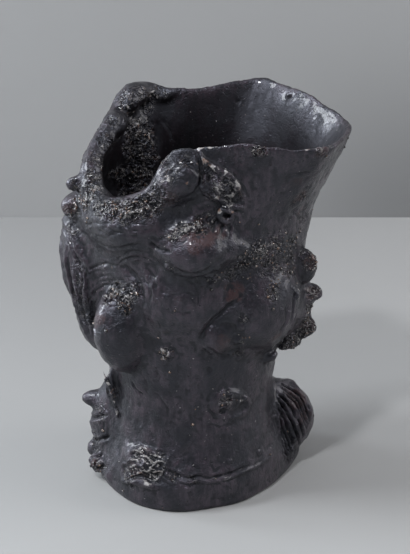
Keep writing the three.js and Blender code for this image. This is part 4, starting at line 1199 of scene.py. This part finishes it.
# Places that carry fine warts: across, up, reach and strength
wartPlaces = [
    (20, 8.5, 7, 0.9), (29, 12, 8, 0.9), (37.9, 14.2, 7, 0.8), (20, -0.4, 4, 0.7), (35.6, 5.3, 7, 0.8),
    (28, 6, 6, 0.7), (30.3, -6.7, 4.5, 1.4), (47.6, 6.7, 4, 0.9), (46, -14, 4, 0.9), (45.9, -21.4, 4, 0.9),
    (38, -30, 4, 0.9), (-57, 32, 5, 0.6), (-52, 26, 5, 0.4), (25.4, 55.7, 3, 0.6), (15.6, -54.8, 3, 0.6),
    (-41.4, -5.8, 4, 0.4), (-1, 22.5, 4, 0.6), (5, -0.5, 4, 0.6), (-48, -72, 5, 0.3), (-47, -84, 5, 0.4),
    (17, -28, 4, 0.7), (9, 39, 5, 0.4), (-18, -33.8, 3.5, 1.2), (-15, 4.6, 3, 1.1), (4, 0, 3.5, 0.9),
    (10, -54.5, 4, 0.7), (41, -5, 4, 0.7),
]

# Crests are found against means of a few and of many rounds. Curls grow where the skin is most
# gnarled, a few stray warts grow anywhere on the outside, and none of them stands on the floor.
marking = {
    "fineRounds": 2,
    "fineGain": 4.0,
    "broadRounds": 10,
    "broadGain": 0.8,
    "calmInside": 0.5,
    "offFloor": (2.0, 3.5),
    "strayWarts": 0.006,
    "curlsFrom": 0.55,
    "curlsRun": 0.45,
    "curls": 0.8,
    "fewerInside": 0.35,
}


# How far each point stands above the mean of its neighbours, along its normal, in millimetres
def crestOf(mesh, points, rounds):
    ends = np.empty(len(mesh.edges) * 2, np.int32)
    mesh.edges.foreach_get("vertices", ends)
    ends = ends.reshape(-1, 2)
    both = np.concatenate([ends, ends[:, ::-1]])
    normals = np.empty(len(points) * 3, np.float32)
    mesh.vertex_normals.foreach_get("vector", normals)
    smooth = points
    for _ in range(rounds):
        smooth = neighbourMean(smooth, both)
    return ((points - smooth) * normals.reshape(-1, 3)).sum(axis=1)


def markWearAndShade(mesh):
    points = np.empty(len(mesh.vertices) * 3, np.float32)
    mesh.vertices.foreach_get("co", points)
    points = (points.reshape(-1, 3) - carvingShift) / millimetre
    bent = bentPoints(points, *bends["edge"])
    inside = insideShare(points)
    gnarl = gnarlMask(bent)
    offFloor = smoothStep(points[:, 2], *marking["offFloor"])
    warty = np.maximum(seenMask(bent, wartPlaces), marking["strayWarts"])
    curly = np.clip((gnarl - marking["curlsFrom"]) / marking["curlsRun"], 0.0, 1.0)
    fine = crestOf(mesh, points, marking["fineRounds"]) * marking["fineGain"]
    broad = crestOf(mesh, points, marking["broadRounds"]) * marking["broadGain"]
    marks = {
        "worn": seenMask(bent, wornPlaces) * (1.0 - marking["calmInside"] * inside),
        "warty": warty * (1.0 - inside) * offFloor,
        "curly": curly * (marking["curls"] - marking["fewerInside"] * inside) * offFloor,
        "bare": seenMask(bent, bareAndGlintPlaces),
        "gnarl": gnarl,
        # The crest makes ridges whitish, partly as painted glints, and darkens hollows as painted shade
        "crest": np.clip(fine + broad, -1.0, 1.0),
        "inside": inside,
    }
    for name, values in marks.items():
        mark = mesh.attributes.new(name, "FLOAT", "POINT")
        mark.data.foreach_set("value", values.astype(np.float32))


markWearAndShade(trunkPiece.data)
print("wear marked")


# Small helpers for node trees
def addNode(tree, kind, **settings):
    node = tree.nodes.new(kind)
    for key, value in settings.items():
        setattr(node, key, value)
    return node


def wire(tree, source, target):
    tree.links.new(source, target)


# Gives a node's inputs, by name or number, each a value or another node's output.
def feed(tree, node, inputs):
    for key, value in inputs.items():
        if isinstance(value, bpy.types.NodeSocket):
            wire(tree, value, node.inputs[key])
        else:
            node.inputs[key].default_value = value
    return node


def mathNode(tree, operation, first, second):
    return feed(tree, addNode(tree, "ShaderNodeMath", operation=operation), {0: first, 1: second}).outputs[0]


def addUp(tree, first, *others):
    for other in others:
        first = mathNode(tree, "ADD", first, other)
    return first


def timesNode(tree, first, second):
    return mathNode(tree, "MULTIPLY", first, second)


def rangeNode(tree, value, low, high, start=0.0, end=1.0):
    node = addNode(tree, "ShaderNodeMapRange", interpolation_type="SMOOTHSTEP")
    settings = {"Value": value, "From Min": low, "From Max": high, "To Min": start, "To Max": end}
    return feed(tree, node, settings).outputs["Result"]


def mixColor(tree, share, first, second):
    node = addNode(tree, "ShaderNodeMix", data_type="RGBA")
    return feed(tree, node, {0: share, 6: first, 7: second}).outputs[2]


even = (1, 1, 1)


def stretched(tree, scale=even):
    place = addNode(tree, "ShaderNodeTexCoord").outputs["Object"]
    return feed(tree, addNode(tree, "ShaderNodeMapping"), {"Vector": place, "Scale": scale}).outputs["Vector"]


def noiseNode(tree, stretch, scale, detail, roughness=0.5, distortion=0.0):
    settings = {"Scale": scale, "Detail": detail, "Roughness": roughness, "Distortion": distortion}
    settings["Vector"] = stretched(tree, stretch)
    return feed(tree, addNode(tree, "ShaderNodeTexNoise"), settings).outputs["Fac"]


def apartNode(tree, vector):
    return feed(tree, addNode(tree, "ShaderNodeSeparateXYZ"), {0: vector})


def newMaterial(name):
    material = bpy.data.materials.new(name)
    material.use_nodes = True
    tree = material.node_tree
    return material, tree, tree.nodes["Principled BSDF"]


def addBump(tree, shader, height, strength):
    bump = feed(tree, addNode(tree, "ShaderNodeBump"), {"Strength": strength, "Distance": millimetre})
    wire(tree, height, bump.inputs["Height"])
    wire(tree, bump.outputs["Normal"], shader.inputs["Normal"])


def newGroup(name, inputs, outputs):
    group = bpy.data.node_groups.new(name, "ShaderNodeTree")
    for label in inputs:
        group.interface.new_socket(label, in_out="INPUT", socket_type="NodeSocketFloat")
    for label in outputs:
        group.interface.new_socket(label, in_out="OUTPUT", socket_type="NodeSocketFloat")
    return group, addNode(group, "NodeGroupInput"), addNode(group, "NodeGroupOutput")


# Each noise of a material has its stretch, its scale, its detail and, where they aren't the usual
# ones, its roughness and distortion. A range says where a noise sets in and where it is full.
mottle = {
    "broad": ((1, 1, 0.7), 95, 5, 0.66),
    "broadRange": (0.40, 0.62),
    "streak": ((1, 1, 0.3), 480, 4, 0.7),
    "streakRange": (0.34, 0.68),
}


# Clouded lacquer: broad mottles, and brush streaks that run down the trunk
def mottleGroup():
    group, _, out = newGroup("lacquer_mottle", [], ["Mottle", "Streak"])
    broad = noiseNode(group, *mottle["broad"])
    streak = noiseNode(group, *mottle["streak"])
    wire(group, rangeNode(group, broad, *mottle["broadRange"]), out.inputs["Mottle"])
    wire(group, rangeNode(group, streak, *mottle["streakRange"]), out.inputs["Streak"])
    return group


wearLook = {
    "patches": (even, 230, 4, 0.7),
    "flecks": (even, 800, 3, 0.65),
    "redFlecks": 0.9,
    "redRange": (1.3, 1.95),
    "crestWhereBare": 0.5,
    "crestAnywhere": 0.12,
    "paleFlecks": 0.8,
    "bareShare": 0.37,
    "paleRange": (0.82, 1.1),
    "creaseShadeRange": (0.05, 0.6),
}


# Where the lacquer is worn through to red-brown wood and where bark is bare, with crests, strokes and flecks
# whitish as worn wood and as painted glints; and painted shade in the hollows, with dark pores
def wearGroup():
    marks = ["Worn", "Crest", "Bare", "Stroke", "Pore"]
    group, given, out = newGroup("lacquer_wear", marks, ["Red", "PaleAndGlint", "ShadeAndPores"])
    worn, crest, bare, stroke, pore = given.outputs[:5]
    patches = noiseNode(group, *wearLook["patches"])
    flecks = noiseNode(group, *wearLook["flecks"])
    red = addUp(group, worn, addUp(group, patches, timesNode(group, flecks, wearLook["redFlecks"])))
    wire(group, rangeNode(group, red, *wearLook["redRange"]), out.inputs["Red"])
    reach = addUp(group, timesNode(group, bare, wearLook["crestWhereBare"]), wearLook["crestAnywhere"])
    wornAndGlint = addUp(
        group,
        timesNode(group, crest, reach),
        timesNode(group, flecks, wearLook["paleFlecks"]),
        timesNode(group, bare, wearLook["bareShare"]),
    )
    # Crests, bare bark, flecks and strokes are made whitish: partly wear, partly painted glints
    paleAndGlint = rangeNode(group, wornAndGlint, *wearLook["paleRange"])
    wire(group, mathNode(group, "MAXIMUM", paleAndGlint, stroke), out.inputs["PaleAndGlint"])
    # Hollows below their neighbours are painted in shade, and the pores are the wood's own dark
    dark = rangeNode(group, timesNode(group, crest, -1.0), *wearLook["creaseShadeRange"])
    wire(group, mathNode(group, "MAXIMUM", dark, pore), out.inputs["ShadeAndPores"])
    return group


# Depths are in millimetres.
barkLook = {
    "grain": ((1, 1, 0.3), 1100, 3, 0.6),
    "grainDepth": 0.16,
    "dents": ((1, 1, 0.7), 300, 4, 0.62),
    "dentDepth": 0.5,
    "crinkle": ((1, 1, 1.3), 300, 2, 0.5, 1.4),
    "hollowDepth": -9.0,
    "hollowAnywhere": 0.07,
    "lineRange": (0.012, 0.05, 1.0, 0.0),
    "breaks": (even, 420, 2),
    "breakRange": (0.46, 0.56),
    "strokeDepth": 0.4,
    "flecks": ((1, 1, 1.2), 620, 2),
    "fleckRange": (0.735, 0.76, 0.0, 0.7),
    "pores": ((1, 1, 0.8), 620, 2),
    "poreRange": (0.66, 0.72),
    "poreDepth": 0.25,
}


# Height of the fine bark in millimetres, the strokes that stand out where it is rough, and its pores. The
# strokes and the sparse flecks also come out whitish in the lacquer's colour, as painted glints.
def barkGroup():
    group, given, out = newGroup("fine_bark", ["Rough"], ["Height", "Stroke", "Pore"])
    rough = given.outputs["Rough"]
    look = barkLook
    grain = noiseNode(group, *look["grain"])
    dents = noiseNode(group, *look["dents"])
    crinkle = noiseNode(group, *look["crinkle"])
    fold = mathNode(group, "ABSOLUTE", mathNode(group, "SUBTRACT", crinkle, 0.5), 0.0)
    line = rangeNode(group, fold, *look["lineRange"])
    broken = rangeNode(group, noiseNode(group, *look["breaks"]), *look["breakRange"])
    stroke = timesNode(group, timesNode(group, line, broken), rough)
    # Flecks: sparse whitish dots that are painted glints
    fleck = rangeNode(group, noiseNode(group, *look["flecks"]), *look["fleckRange"])
    stroke = mathNode(group, "MAXIMUM", stroke, fleck)
    wire(group, stroke, out.inputs["Stroke"])
    pore = rangeNode(group, noiseNode(group, *look["pores"]), *look["poreRange"])
    wire(group, pore, out.inputs["Pore"])
    hollow = timesNode(group, fold, look["hollowDepth"])
    hollow = timesNode(group, hollow, addUp(group, rough, look["hollowAnywhere"]))
    height = addUp(
        group,
        timesNode(group, grain, look["grainDepth"]),
        hollow,
        timesNode(group, dents, look["dentDepth"]),
        timesNode(group, stroke, look["strokeDepth"]),
    )
    height = mathNode(group, "SUBTRACT", height, timesNode(group, pore, look["poreDepth"]))
    wire(group, height, out.inputs["Height"])
    return group


groups = {"mottle": mottleGroup(), "wear": wearGroup(), "bark": barkGroup()}


def useGroup(tree, name):
    return addNode(tree, "ShaderNodeGroup", node_tree=groups[name])


def attributeNode(tree, name):
    return addNode(tree, "ShaderNodeAttribute", attribute_name=name).outputs["Fac"]


lacquer = {
    "deep": (0.0034, 0.0030, 0.0037, 1.0),
    "cloud": (0.038, 0.0270, 0.0340, 1.0),
    "red": (0.036, 0.013, 0.010, 1.0),
    # whitish worn wood, which also serves as painted glints on crests, strokes and flecks
    "paleAndGlint": (0.39, 0.372, 0.362, 1.0),
    "tan": (0.15, 0.085, 0.056, 1.0),
    # near-black of the pores, also used as painted shade in the hollows and down the bore
    "shadeAndPore": (0.003, 0.0022, 0.0022, 1.0),
    "sheen": (0.80, 0.83, 1.0, 1.0),
    "streakLeast": 0.3,
    "roughBark": 0.9,
    "insidePaintedShade": 0.8,
    "insideCalm": 0.3,
    "tint": (even, 190, 3),
    "tintRange": (0.52, 0.66),
    "roughness": 0.27,
    "roughUnclouded": 0.16,
    "roughStreak": 0.08,
    "roughRed": 0.12,
    "roughDark": 0.2,
    "dustyHeights": (0.01, 0.07, 0.12, 0.0),
    "glossyGnarls": (0.2, 0.9, 0.0, -0.15),
    "shine": {"Specular IOR Level": 0.6, "Coat Weight": 0.25, "Coat Roughness": 0.08},
}


def darkLacquer():
    material, tree, shader = newMaterial("dark_lacquer")
    clouds = useGroup(tree, "mottle")
    wear = useGroup(tree, "wear")
    bark = useGroup(tree, "bark")
    for label in ("Worn", "Crest", "Bare"):
        wire(tree, attributeNode(tree, label.lower()), wear.inputs[label])
    gnarl = attributeNode(tree, "gnarl")
    wire(tree, rangeNode(tree, gnarl, 0.0, 1.0, 0.0, lacquer["roughBark"]), bark.inputs["Rough"])
    wire(tree, bark.outputs["Stroke"], wear.inputs["Stroke"])
    wire(tree, bark.outputs["Pore"], wear.inputs["Pore"])
    streak = clouds.outputs["Streak"]
    cloud = timesNode(tree, clouds.outputs["Mottle"], addUp(tree, streak, lacquer["streakLeast"]))
    color = mixColor(tree, cloud, lacquer["deep"], lacquer["cloud"])
    color = mixColor(tree, wear.outputs["Red"], color, lacquer["red"])
    # Hollows are painted in shade with the near-black, and pores take it as their own colour
    color = mixColor(tree, wear.outputs["ShadeAndPores"], color, lacquer["shadeAndPore"])
    # Painted shade: the bore's wall is darkened towards the near-black, for the light that its narrow mouth
    # keeps out
    inside = attributeNode(tree, "inside")
    insideShade = rangeNode(tree, inside, 0.0, 1.0, 0.0, lacquer["insidePaintedShade"])
    color = mixColor(tree, insideShade, color, lacquer["shadeAndPore"])
    # Whitish and tan worn colour, partly worn wood and partly painted glints
    tint = rangeNode(tree, noiseNode(tree, *lacquer["tint"]), *lacquer["tintRange"])
    wornAndGlint = mixColor(tree, tint, lacquer["paleAndGlint"], lacquer["tan"])
    color = mixColor(tree, wear.outputs["PaleAndGlint"], color, wornAndGlint)
    wire(tree, color, shader.inputs["Base Color"])
    rough = addUp(
        tree,
        timesNode(tree, mathNode(tree, "SUBTRACT", 1.0, cloud), lacquer["roughUnclouded"]),
        lacquer["roughness"],
        timesNode(tree, streak, lacquer["roughStreak"]),
        timesNode(tree, wear.outputs["Red"], lacquer["roughRed"]),
        timesNode(tree, wear.outputs["ShadeAndPores"], lacquer["roughDark"]),
        rangeNode(tree, apartNode(tree, stretched(tree)).outputs["Z"], *lacquer["dustyHeights"]),
        rangeNode(tree, gnarl, *lacquer["glossyGnarls"]),
    )
    wire(tree, rough, shader.inputs["Roughness"])
    feed(tree, shader, {"Specular Tint": lacquer["sheen"], **lacquer["shine"]})
    calm = rangeNode(tree, inside, 0.0, 1.0, 1.0, lacquer["insideCalm"])
    addBump(tree, shader, timesNode(tree, bark.outputs["Height"], calm), 1.0)
    return material


wartLook = {
    "cloudShare": 0.5,
    "wornAndGlintTips": (even, 640, 2),
    "tanRange": (0.54, 0.62),
    "paleRange": (0.66, 0.72),
    "barkRough": 0.1,
    "bump": 0.5,
    "shine": {"Roughness": 0.24, "Specular IOR Level": 0.8, "Coat Weight": 0.8, "Coat Roughness": 0.08},
}


def wartLacquer():
    material, tree, shader = newMaterial("wart_lacquer")
    bark = feed(tree, useGroup(tree, "bark"), {"Rough": wartLook["barkRough"]})
    # Random whitish and tan spots on the warts and curls: partly worn wood, partly painted glints
    wornAndGlintTips = noiseNode(tree, *wartLook["wornAndGlintTips"])
    cloud = timesNode(tree, useGroup(tree, "mottle").outputs["Streak"], wartLook["cloudShare"])
    color = mixColor(tree, cloud, lacquer["deep"], lacquer["cloud"])
    color = mixColor(tree, rangeNode(tree, wornAndGlintTips, *wartLook["tanRange"]), color, lacquer["tan"])
    color = mixColor(tree, rangeNode(tree, wornAndGlintTips, *wartLook["paleRange"]), color, lacquer["paleAndGlint"])
    wire(tree, color, shader.inputs["Base Color"])
    feed(tree, shader, wartLook["shine"])
    addBump(tree, shader, bark.outputs["Height"], wartLook["bump"])
    return material


plugLook = {
    "dark": (0.020, 0.012, 0.009, 1.0),
    "light": (0.060, 0.034, 0.022, 1.0),
    "heart": (0.3, 0.6),
    "rings": {"Scale": 70.0, "Distortion": 2.2, "Detail": 3.0, "Detail Scale": 1.4},
    "ringsLeast": 0.4,
    "ringDepth": 0.08,
    "barkRough": 0.1,
    "bump": 0.6,
    "roughness": 0.46,
}


# End grain: growth rings about a heart beside the turned centre
def plugWood():
    material, tree, shader = newMaterial("plug_wood")
    place = addNode(tree, "ShaderNodeTexCoord").outputs["Object"]
    across, away = plugLook["heart"]
    heart = (
        plugLow.x * (1.0 - across) + plugHigh.x * across,
        plugLow.y * (1.0 - away) + plugHigh.y * away,
        0.0,
    )
    shifted = feed(tree, addNode(tree, "ShaderNodeVectorMath", operation="SUBTRACT"), {0: place, 1: heart})
    rings = addNode(tree, "ShaderNodeTexWave", wave_type="RINGS", rings_direction="Z")
    rings = feed(tree, rings, {"Vector": shifted.outputs[0], **plugLook["rings"]}).outputs["Fac"]
    bark = feed(tree, useGroup(tree, "bark"), {"Rough": plugLook["barkRough"]})
    share = addUp(tree, useGroup(tree, "mottle").outputs["Mottle"], plugLook["ringsLeast"])
    color = mixColor(tree, timesNode(tree, rings, share), plugLook["dark"], plugLook["light"])
    feed(tree, shader, {"Base Color": color, "Roughness": plugLook["roughness"]})
    height = addUp(tree, bark.outputs["Height"], timesNode(tree, rings, plugLook["ringDepth"]))
    addBump(tree, shader, height, plugLook["bump"])
    return material


trunkPiece.data.materials.clear()
trunkPiece.data.materials.append(darkLacquer())
print("lacquer mixed")

# What is scattered over the bark: how thickly to the square metre, and how far apart and how large,
# in metres
warts = {"Density": 300000.0, "Spacing": 0.0011, "Smallest": 0.00028, "Largest": 0.0008, "Seed": 11}
curls = {"Density": 200000.0, "Spacing": 0.0013, "Smallest": 0.0006, "Largest": 0.0016, "Seed": 23}
scatterShape = {
    "beadRounds": 2,
    "curlSegments": 6,
    "curlRings": 9,
    "curlScale": (0.30, 0.42, 1.0),
    "curlBend": 0.30,
    "leastStretch": (0.7, 0.7, 0.6),
    "mostStretch": (1.3, 1.3, 1.1),
}


def beadShape(tree):
    bead = addNode(tree, "GeometryNodeMeshIcoSphere")
    return feed(tree, bead, {"Radius": 1.0, "Subdivisions": scatterShape["beadRounds"]}).outputs["Mesh"]


# A thin grain, a unit long to each side, bent sideways along its length
def curlGrain(tree):
    sides = {"Segments": scatterShape["curlSegments"], "Rings": scatterShape["curlRings"], "Radius": 1.0}
    grain = feed(tree, addNode(tree, "GeometryNodeMeshUVSphere"), sides).outputs["Mesh"]
    turn = {"Geometry": grain, "Rotation": (0.0, math.pi / 2, 0.0), "Scale": scatterShape["curlScale"]}
    lay = feed(tree, addNode(tree, "GeometryNodeTransform"), turn).outputs["Geometry"]
    along = apartNode(tree, addNode(tree, "GeometryNodeInputPosition").outputs[0]).outputs["X"]
    sideways = timesNode(tree, timesNode(tree, along, along), scatterShape["curlBend"])
    shift = feed(tree, addNode(tree, "ShaderNodeCombineXYZ"), {"Y": sideways}).outputs[0]
    bend = feed(tree, addNode(tree, "GeometryNodeSetPosition"), {"Geometry": lay, "Offset": shift})
    return bend.outputs["Geometry"]


def addSockets(tree, kind, labels, way="INPUT"):
    for label in labels:
        tree.interface.new_socket(label, in_out=way, socket_type=kind)


# Scatters a shape over the faces, turned at random, as thickly as the named attribute says
def scatterTree(name, shape, attribute, material):
    tree = bpy.data.node_groups.new(name, "GeometryNodeTree")
    addSockets(tree, "NodeSocketGeometry", ["Geometry"])
    addSockets(tree, "NodeSocketFloat", ["Density", "Spacing", "Smallest", "Largest"])
    addSockets(tree, "NodeSocketInt", ["Seed"])
    addSockets(tree, "NodeSocketGeometry", ["Geometry"], "OUTPUT")
    given = addNode(tree, "NodeGroupInput").outputs
    result = addNode(tree, "NodeGroupOutput")
    share = addNode(tree, "GeometryNodeInputNamedAttribute", data_type="FLOAT")
    share = feed(tree, share, {"Name": attribute}).outputs["Attribute"]
    spread = {
        "Mesh": given["Geometry"],
        "Density Max": given["Density"],
        "Distance Min": given["Spacing"],
        "Seed": given["Seed"],
        "Density Factor": share,
    }
    scatter = addNode(tree, "GeometryNodeDistributePointsOnFaces", distribute_method="POISSON")
    feed(tree, scatter, spread)
    size = addNode(tree, "FunctionNodeRandomValue", data_type="FLOAT")
    feed(tree, size, {2: given["Smallest"], 3: given["Largest"], "Seed": given["Seed"]})
    stretch = addNode(tree, "FunctionNodeRandomValue", data_type="FLOAT_VECTOR")
    feed(tree, stretch, {0: scatterShape["leastStretch"], 1: scatterShape["mostStretch"]})
    scale = addNode(tree, "ShaderNodeVectorMath", operation="SCALE")
    feed(tree, scale, {0: stretch.outputs[0], "Scale": size.outputs[1]})
    standing = {
        "Points": scatter.outputs["Points"],
        "Instance": shape(tree),
        "Rotation": scatter.outputs["Rotation"],
        "Scale": scale.outputs[0],
    }
    place = feed(tree, addNode(tree, "GeometryNodeInstanceOnPoints"), standing).outputs["Instances"]
    spin = feed(tree, addNode(tree, "FunctionNodeRandomValue", data_type="FLOAT"), {3: 2 * math.pi})
    about = feed(tree, addNode(tree, "ShaderNodeCombineXYZ"), {"Z": spin.outputs[1]}).outputs[0]
    turn = feed(tree, addNode(tree, "GeometryNodeRotateInstances"), {"Instances": place, "Rotation": about})
    real = feed(tree, addNode(tree, "GeometryNodeRealizeInstances"), {"Geometry": turn.outputs["Instances"]})
    painted = {"Geometry": real.outputs["Geometry"], "Material": material}
    paint = feed(tree, addNode(tree, "GeometryNodeSetMaterial"), painted)
    wire(tree, paint.outputs["Geometry"], result.inputs["Geometry"])
    return tree


def scatterOver(name, shape, attribute, material, values):
    piece = addToScene(name, trunkPiece.data.copy())
    tree = scatterTree(name, shape, attribute, material)
    grow = piece.modifiers.new("grow", "NODES")
    grow.node_group = tree
    for item in tree.interface.items_tree:
        if item.in_out == "INPUT" and item.name in values:
            grow[item.identifier] = values[item.name]
    plainMesh(piece)
    print(name, len(piece.data.polygons), "faces")
    return piece


wartPaint = wartLacquer()
wartPiece = scatterOver("bark_warts", beadShape, "warty", wartPaint, warts)
curlPiece = scatterOver("bark_curls", curlGrain, "curly", wartPaint, curls)

# The plug's turned outline: radius, and height above the resting plane. Shallow grooves ring both
# of its faces, and a small dimple marks the centre that it was turned on.
plugShape = {
    "sides": 96,
    "outline": [
        (0.0, 1.9), (0.9, 1.7), (1.4, 1.2), (2.2, 1.0), (8.4, 1.0), (8.8, 1.35), (9.4, 1.35), (9.8, 1.0),
        (16.8, 1.0), (17.2, 1.4), (18.0, 1.4), (18.4, 1.0), (23.1, 1.0), (23.6, 1.2), (23.85, 1.7),
        (23.75, 3.0), (22.65, 10.6), (22.2, 10.95), (21.6, 11.0), (15.4, 11.0), (15.0, 10.7), (14.4, 10.7),
        (14.0, 11.0), (1.6, 11.0), (0.8, 10.8), (0.0, 10.7),
    ],
}


def turnedPlug():
    rows = plugShape["outline"]
    sides = plugShape["sides"]
    points = [(*plugCentre, rows[0][1])]
    for radius, z in rows[1:-1]:
        for side in range(sides):
            turn = 2 * math.pi * side / sides
            across = plugCentre[0] + radius * math.cos(turn)
            away = plugCentre[1] + radius * math.sin(turn)
            points.append((across, away, z))
    points.append((*plugCentre, rows[-1][1]))
    last = len(points) - 1
    faces = []
    for side in range(sides):
        after = (side + 1) % sides
        faces.append((0, 1 + after, 1 + side))
        for row in range(len(rows) - 3):
            low = 1 + row * sides
            high = low + sides
            faces.append((low + side, low + after, high + after, high + side))
        top = 1 + (len(rows) - 3) * sides
        faces.append((top + side, top + after, last))
    mesh = bpy.data.meshes.new("turned_plug")
    mesh.from_pydata([tuple(toFrame(point)) for point in points], [], faces)
    mesh.update()
    mesh.shade_smooth()
    mesh.materials.append(plugWood())
    return addToScene("turned_plug", mesh)


plugPiece = turnedPlug()
print("plug turned")

studio = {
    "floorReach": 3.0,
    "wallBack": 0.316,
    "wallHeight": 2.0,
    "boardRoughness": 0.65,
    # The floor is painted darker away from the viewer and towards the left: painted shade for the light's
    # falloff
    "floorNear": (0.375, 0.380, 0.381, 1.0),
    "floorShadeFarLeft": (0.238, 0.239, 0.240, 1.0),
    "floorShadeFarRight": (0.305, 0.305, 0.305, 1.0),
    "floorAway": (-0.30, 0.32),
    "floorAcross": (-0.10, 0.13),
    "wallPale": (0.370, 0.373, 0.376, 1.0),
    "wallShade": (0.222, 0.225, 0.228, 1.0),
    "wallAcross": (-0.02, 0.13),
    "wallLow": (0.0, 0.14, 1.0, 0.0),
    "worldFront": (0.22, 0.23, 0.25, 1.0),
    "worldBack": (0.98, 1.0, 1.05, 1.0),
    "worldAway": (-0.7, 0.3),
    "worldStrength": 0.52,
}
# Each light's place, what it points at, its size, its power in watts and its colour
lights = {
    "key": ((-0.80, -0.10, 1.05), (0, 0, 0.12), (0.36, 0.36), 11, (0.93, 0.965, 1.0)),
    "window": ((-0.72, 0.25, 0.28), (0, 0, 0.14), (0.24, 0.26), 4.6, (0.90, 0.95, 1.0)),
    "crest": ((-0.35, -0.70, 1.15), (0, 0, 0.12), (0.10, 0.10), 8, (0.97, 0.98, 1.0)),
    "fill": ((0.95, 0.02, 0.55), (0, 0, 0.08), (0.7, 0.6), 5.5, (1.0, 0.98, 0.98)),
}


def flatPiece(name, corners, material):
    mesh = bpy.data.meshes.new(name)
    mesh.from_pydata(corners, [], [(0, 1, 2, 3)])
    mesh.materials.append(material)
    piece = addToScene(name, mesh)


def paintedBoard(name):
    material, tree, shader = newMaterial(name)
    shader.inputs["Roughness"].default_value = studio["boardRoughness"]
    return material, tree, shader, apartNode(tree, stretched(tree)).outputs


def studioFloor():
    reach = studio["floorReach"]
    paint, tree, shader, place = paintedBoard("floor")
    away = rangeNode(tree, place["Y"], *studio["floorAway"])
    across = rangeNode(tree, place["X"], *studio["floorAcross"])
    # Painted shade: the far floor is darker, most at the left
    far = mixColor(tree, across, studio["floorShadeFarLeft"], studio["floorShadeFarRight"])
    wire(tree, mixColor(tree, away, studio["floorNear"], far), shader.inputs["Base Color"])
    corners = [(-reach, -reach, 0), (reach, -reach, 0), (reach, reach, 0), (-reach, reach, 0)]
    flatPiece("floor", corners, paint)


# The backdrop is seen from its front only, so that the pot can be looked at from behind.
def studioBackdrop():
    reach = studio["floorReach"]
    back = studio["wallBack"]
    top = studio["wallHeight"]
    paint, tree, shader, place = paintedBoard("backdrop")
    across = rangeNode(tree, place["X"], *studio["wallAcross"])
    low = rangeNode(tree, place["Z"], *studio["wallLow"])
    # Painted shadow: the backdrop darkens at the right, towards the floor
    color = mixColor(tree, timesNode(tree, across, low), studio["wallPale"], studio["wallShade"])
    wire(tree, color, shader.inputs["Base Color"])
    sides = {
        0: addNode(tree, "ShaderNodeNewGeometry").outputs["Backfacing"],
        1: shader.outputs["BSDF"],
        2: addNode(tree, "ShaderNodeBsdfTransparent").outputs["BSDF"],
    }
    oneSided = feed(tree, addNode(tree, "ShaderNodeMixShader"), sides)
    wire(tree, oneSided.outputs["Shader"], tree.nodes["Material Output"].inputs["Surface"])
    corners = [(-reach, back, 0), (reach, back, 0), (reach, back, top), (-reach, back, top)]
    flatPiece("backdrop", corners, paint)


def softLight(name, place, aim, size, power, color):
    light = bpy.data.lights.new(name, "AREA")
    light.shape = "RECTANGLE"
    light.size, light.size_y = size
    light.energy = power
    light.color = color
    holder = addToScene(name, light)
    holder.location = place
    holder.rotation_euler = (Vector(aim) - Vector(place)).to_track_quat("-Z", "Y").to_euler()


# The world is darker on the viewer's side, where the room is.
def studioWorld():
    world = bpy.data.worlds.new("studio")
    bpy.context.scene.world = world
    world.use_nodes = True
    tree = world.node_tree
    way = apartNode(tree, addNode(tree, "ShaderNodeTexCoord").outputs["Generated"]).outputs["Y"]
    away = rangeNode(tree, way, *studio["worldAway"])
    color = mixColor(tree, away, studio["worldFront"], studio["worldBack"])
    feed(tree, tree.nodes["Background"], {"Color": color, "Strength": studio["worldStrength"]})


studioFloor()
studioBackdrop()
studioWorld()
for name, settings in lights.items():
    softLight(name, *settings)
bpy.context.scene.view_settings.view_transform = "Standard"

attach(trunkPiece, "root")
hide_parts("trunk_body")
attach(wartPiece, "root")
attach(curlPiece, "root")
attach(plugPiece, "root")
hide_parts("base_plug")
